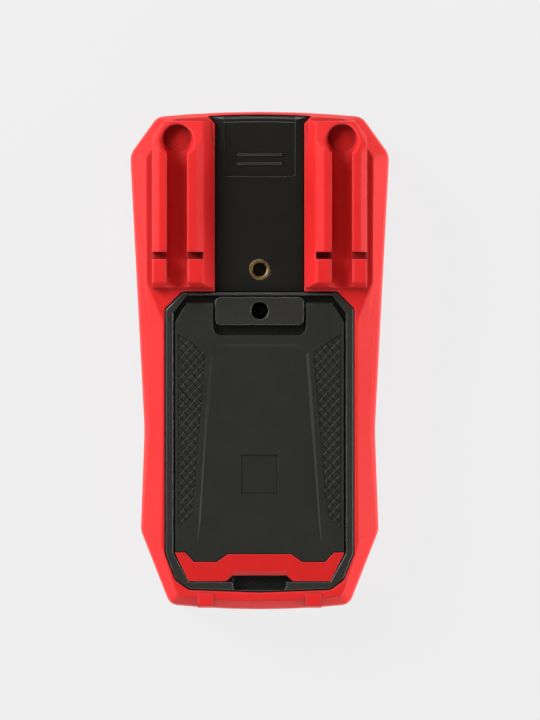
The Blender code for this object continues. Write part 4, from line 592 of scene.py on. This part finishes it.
INK = moulded("white_ink", "#e6e6e2", "#dededa", 0.5, (0.3, 0.004), 0.05, "#ecece8")
dial_middle = (KNOB_LOW + KNOB_HIGH) / 2
bake("dial_marks", tree, {
    "Count": DIAL_POSITIONS, "Step": math.pi / (DIAL_POSITIONS - 1), "Radius": MARK_RADIUS * MM,
    "Mark": tuple(side * MM for side in MARK), "Finish": INK,
    "Middle": (dial_middle.x, dial_middle.y, FACE_LEVEL)}, "meter")

# %% [markdown]
# ## Numbers on the dial
# Each mark has a number, and the first one is OFF. A font's outlines, thickened as little as ink, give
# the printed figures. They face down, so each one is turned over to read rightly from the front.

# %% Number the dial
LABELS = ("OFF", "1", "2", "3", "4", "5", "6", "7", "8")
FIGURE_HEIGHT = 3.2
FIGURE_RADIUS = 27.4
OFF_SHIFT = 1.4
INK_THICKNESS = 0.03


def printed(text, place):
    """The outline of a few figures as a thin plate that faces down."""
    outline = bpy.data.curves.new("figure", "FONT")
    outline.body = text
    outline.size = FIGURE_HEIGHT * MM
    outline.extrude = INK_THICKNESS * MM
    outline.align_x = outline.align_y = "CENTER"
    host = bpy.data.objects.new("figure", outline)
    scene.collection.objects.link(host)
    bpy.context.view_layer.update()
    data = bpy.data.meshes.new_from_object(host.evaluated_get(bpy.context.evaluated_depsgraph_get()))
    bpy.data.objects.remove(host)
    data.transform(Matrix.Translation(place) @ Matrix.Rotation(math.pi, 4, "Y"))
    return data


figures = bmesh.new()
dial_centre = Vector((dial_middle.x, dial_middle.y, FACE_LEVEL))
for number, text in enumerate(LABELS):
    angle = number * math.pi / (DIAL_POSITIONS - 1)
    radius = (FIGURE_RADIUS + (OFF_SHIFT if text == "OFF" else 0.0)) * MM
    outwards = Vector((math.cos(angle), math.sin(angle), 0))
    figures.from_mesh(printed(text, dial_centre + radius * outwards))
data = bpy.data.meshes.new("dial_figures")
figures.to_mesh(data)
figures.free()
data.materials.append(INK)
dial_figures = bpy.data.objects.new("dial_figures", data)
scene.collection.objects.link(dial_figures)
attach(dial_figures, "meter")
print("figures:", len(LABELS))

# %% [markdown]
# ## Rounded ribs of the middle panel
# At its far end the panel rolls over into a round lip, and two round ribs stand in its window. Each
# is a bar sunk into the panel, so that only its upper side shows, as a cutter's round groove in the
# mould would leave it.

# %% Add the lip and the ribs
WINDOW_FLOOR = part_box("rear_shell")[1].z - 0.5 * MM
LIP_POINTS = [(-13.4, 86.25), (-9, 86.4), (-4.5, 86.5), (0, 86.53), (4.5, 86.5), (9, 86.4),
              (13.4, 86.25)]
RIB_ROWS = (73.9, 70.7)
RIB_REACH = 8.2
RIB_RADIUS = 0.62


def sunk_bar(name, points, radius, rise):
    """A round bar along some points (mm) that rises a little above the window's floor."""
    path = bpy.data.curves.new(name, "CURVE")
    path.dimensions = "3D"
    path.bevel_depth = radius * MM
    path.bevel_resolution = 8
    path.use_fill_caps = True
    line = path.splines.new("POLY")
    line.points.add(len(points) - 1)
    for point, (x, y) in zip(line.points, points):
        point.co = (x * MM, y * MM, WINDOW_FLOOR + (rise - radius) * MM, 1.0)
    host = bpy.data.objects.new(name, path)
    scene.collection.objects.link(host)
    bpy.context.view_layer.update()
    data = bpy.data.meshes.new_from_object(host.evaluated_get(bpy.context.evaluated_depsgraph_get()))
    bpy.data.objects.remove(host)
    for face in data.polygons:
        face.use_smooth = len(face.vertices) == 4
    data.materials.append(SPECIAL["rear_shell"])
    bar = bpy.data.objects.new(name, data)
    scene.collection.objects.link(bar)
    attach(bar, "meter")


sunk_bar("panel_lip", LIP_POINTS, 1.5, 0.28)
for number, y in enumerate(RIB_ROWS, 1):
    sunk_bar(f"window_rib_{number}", [(-RIB_REACH, y), (RIB_REACH, y)], RIB_RADIUS, RIB_RADIUS)
print("ribs:", len(RIB_ROWS), "lip: 1")
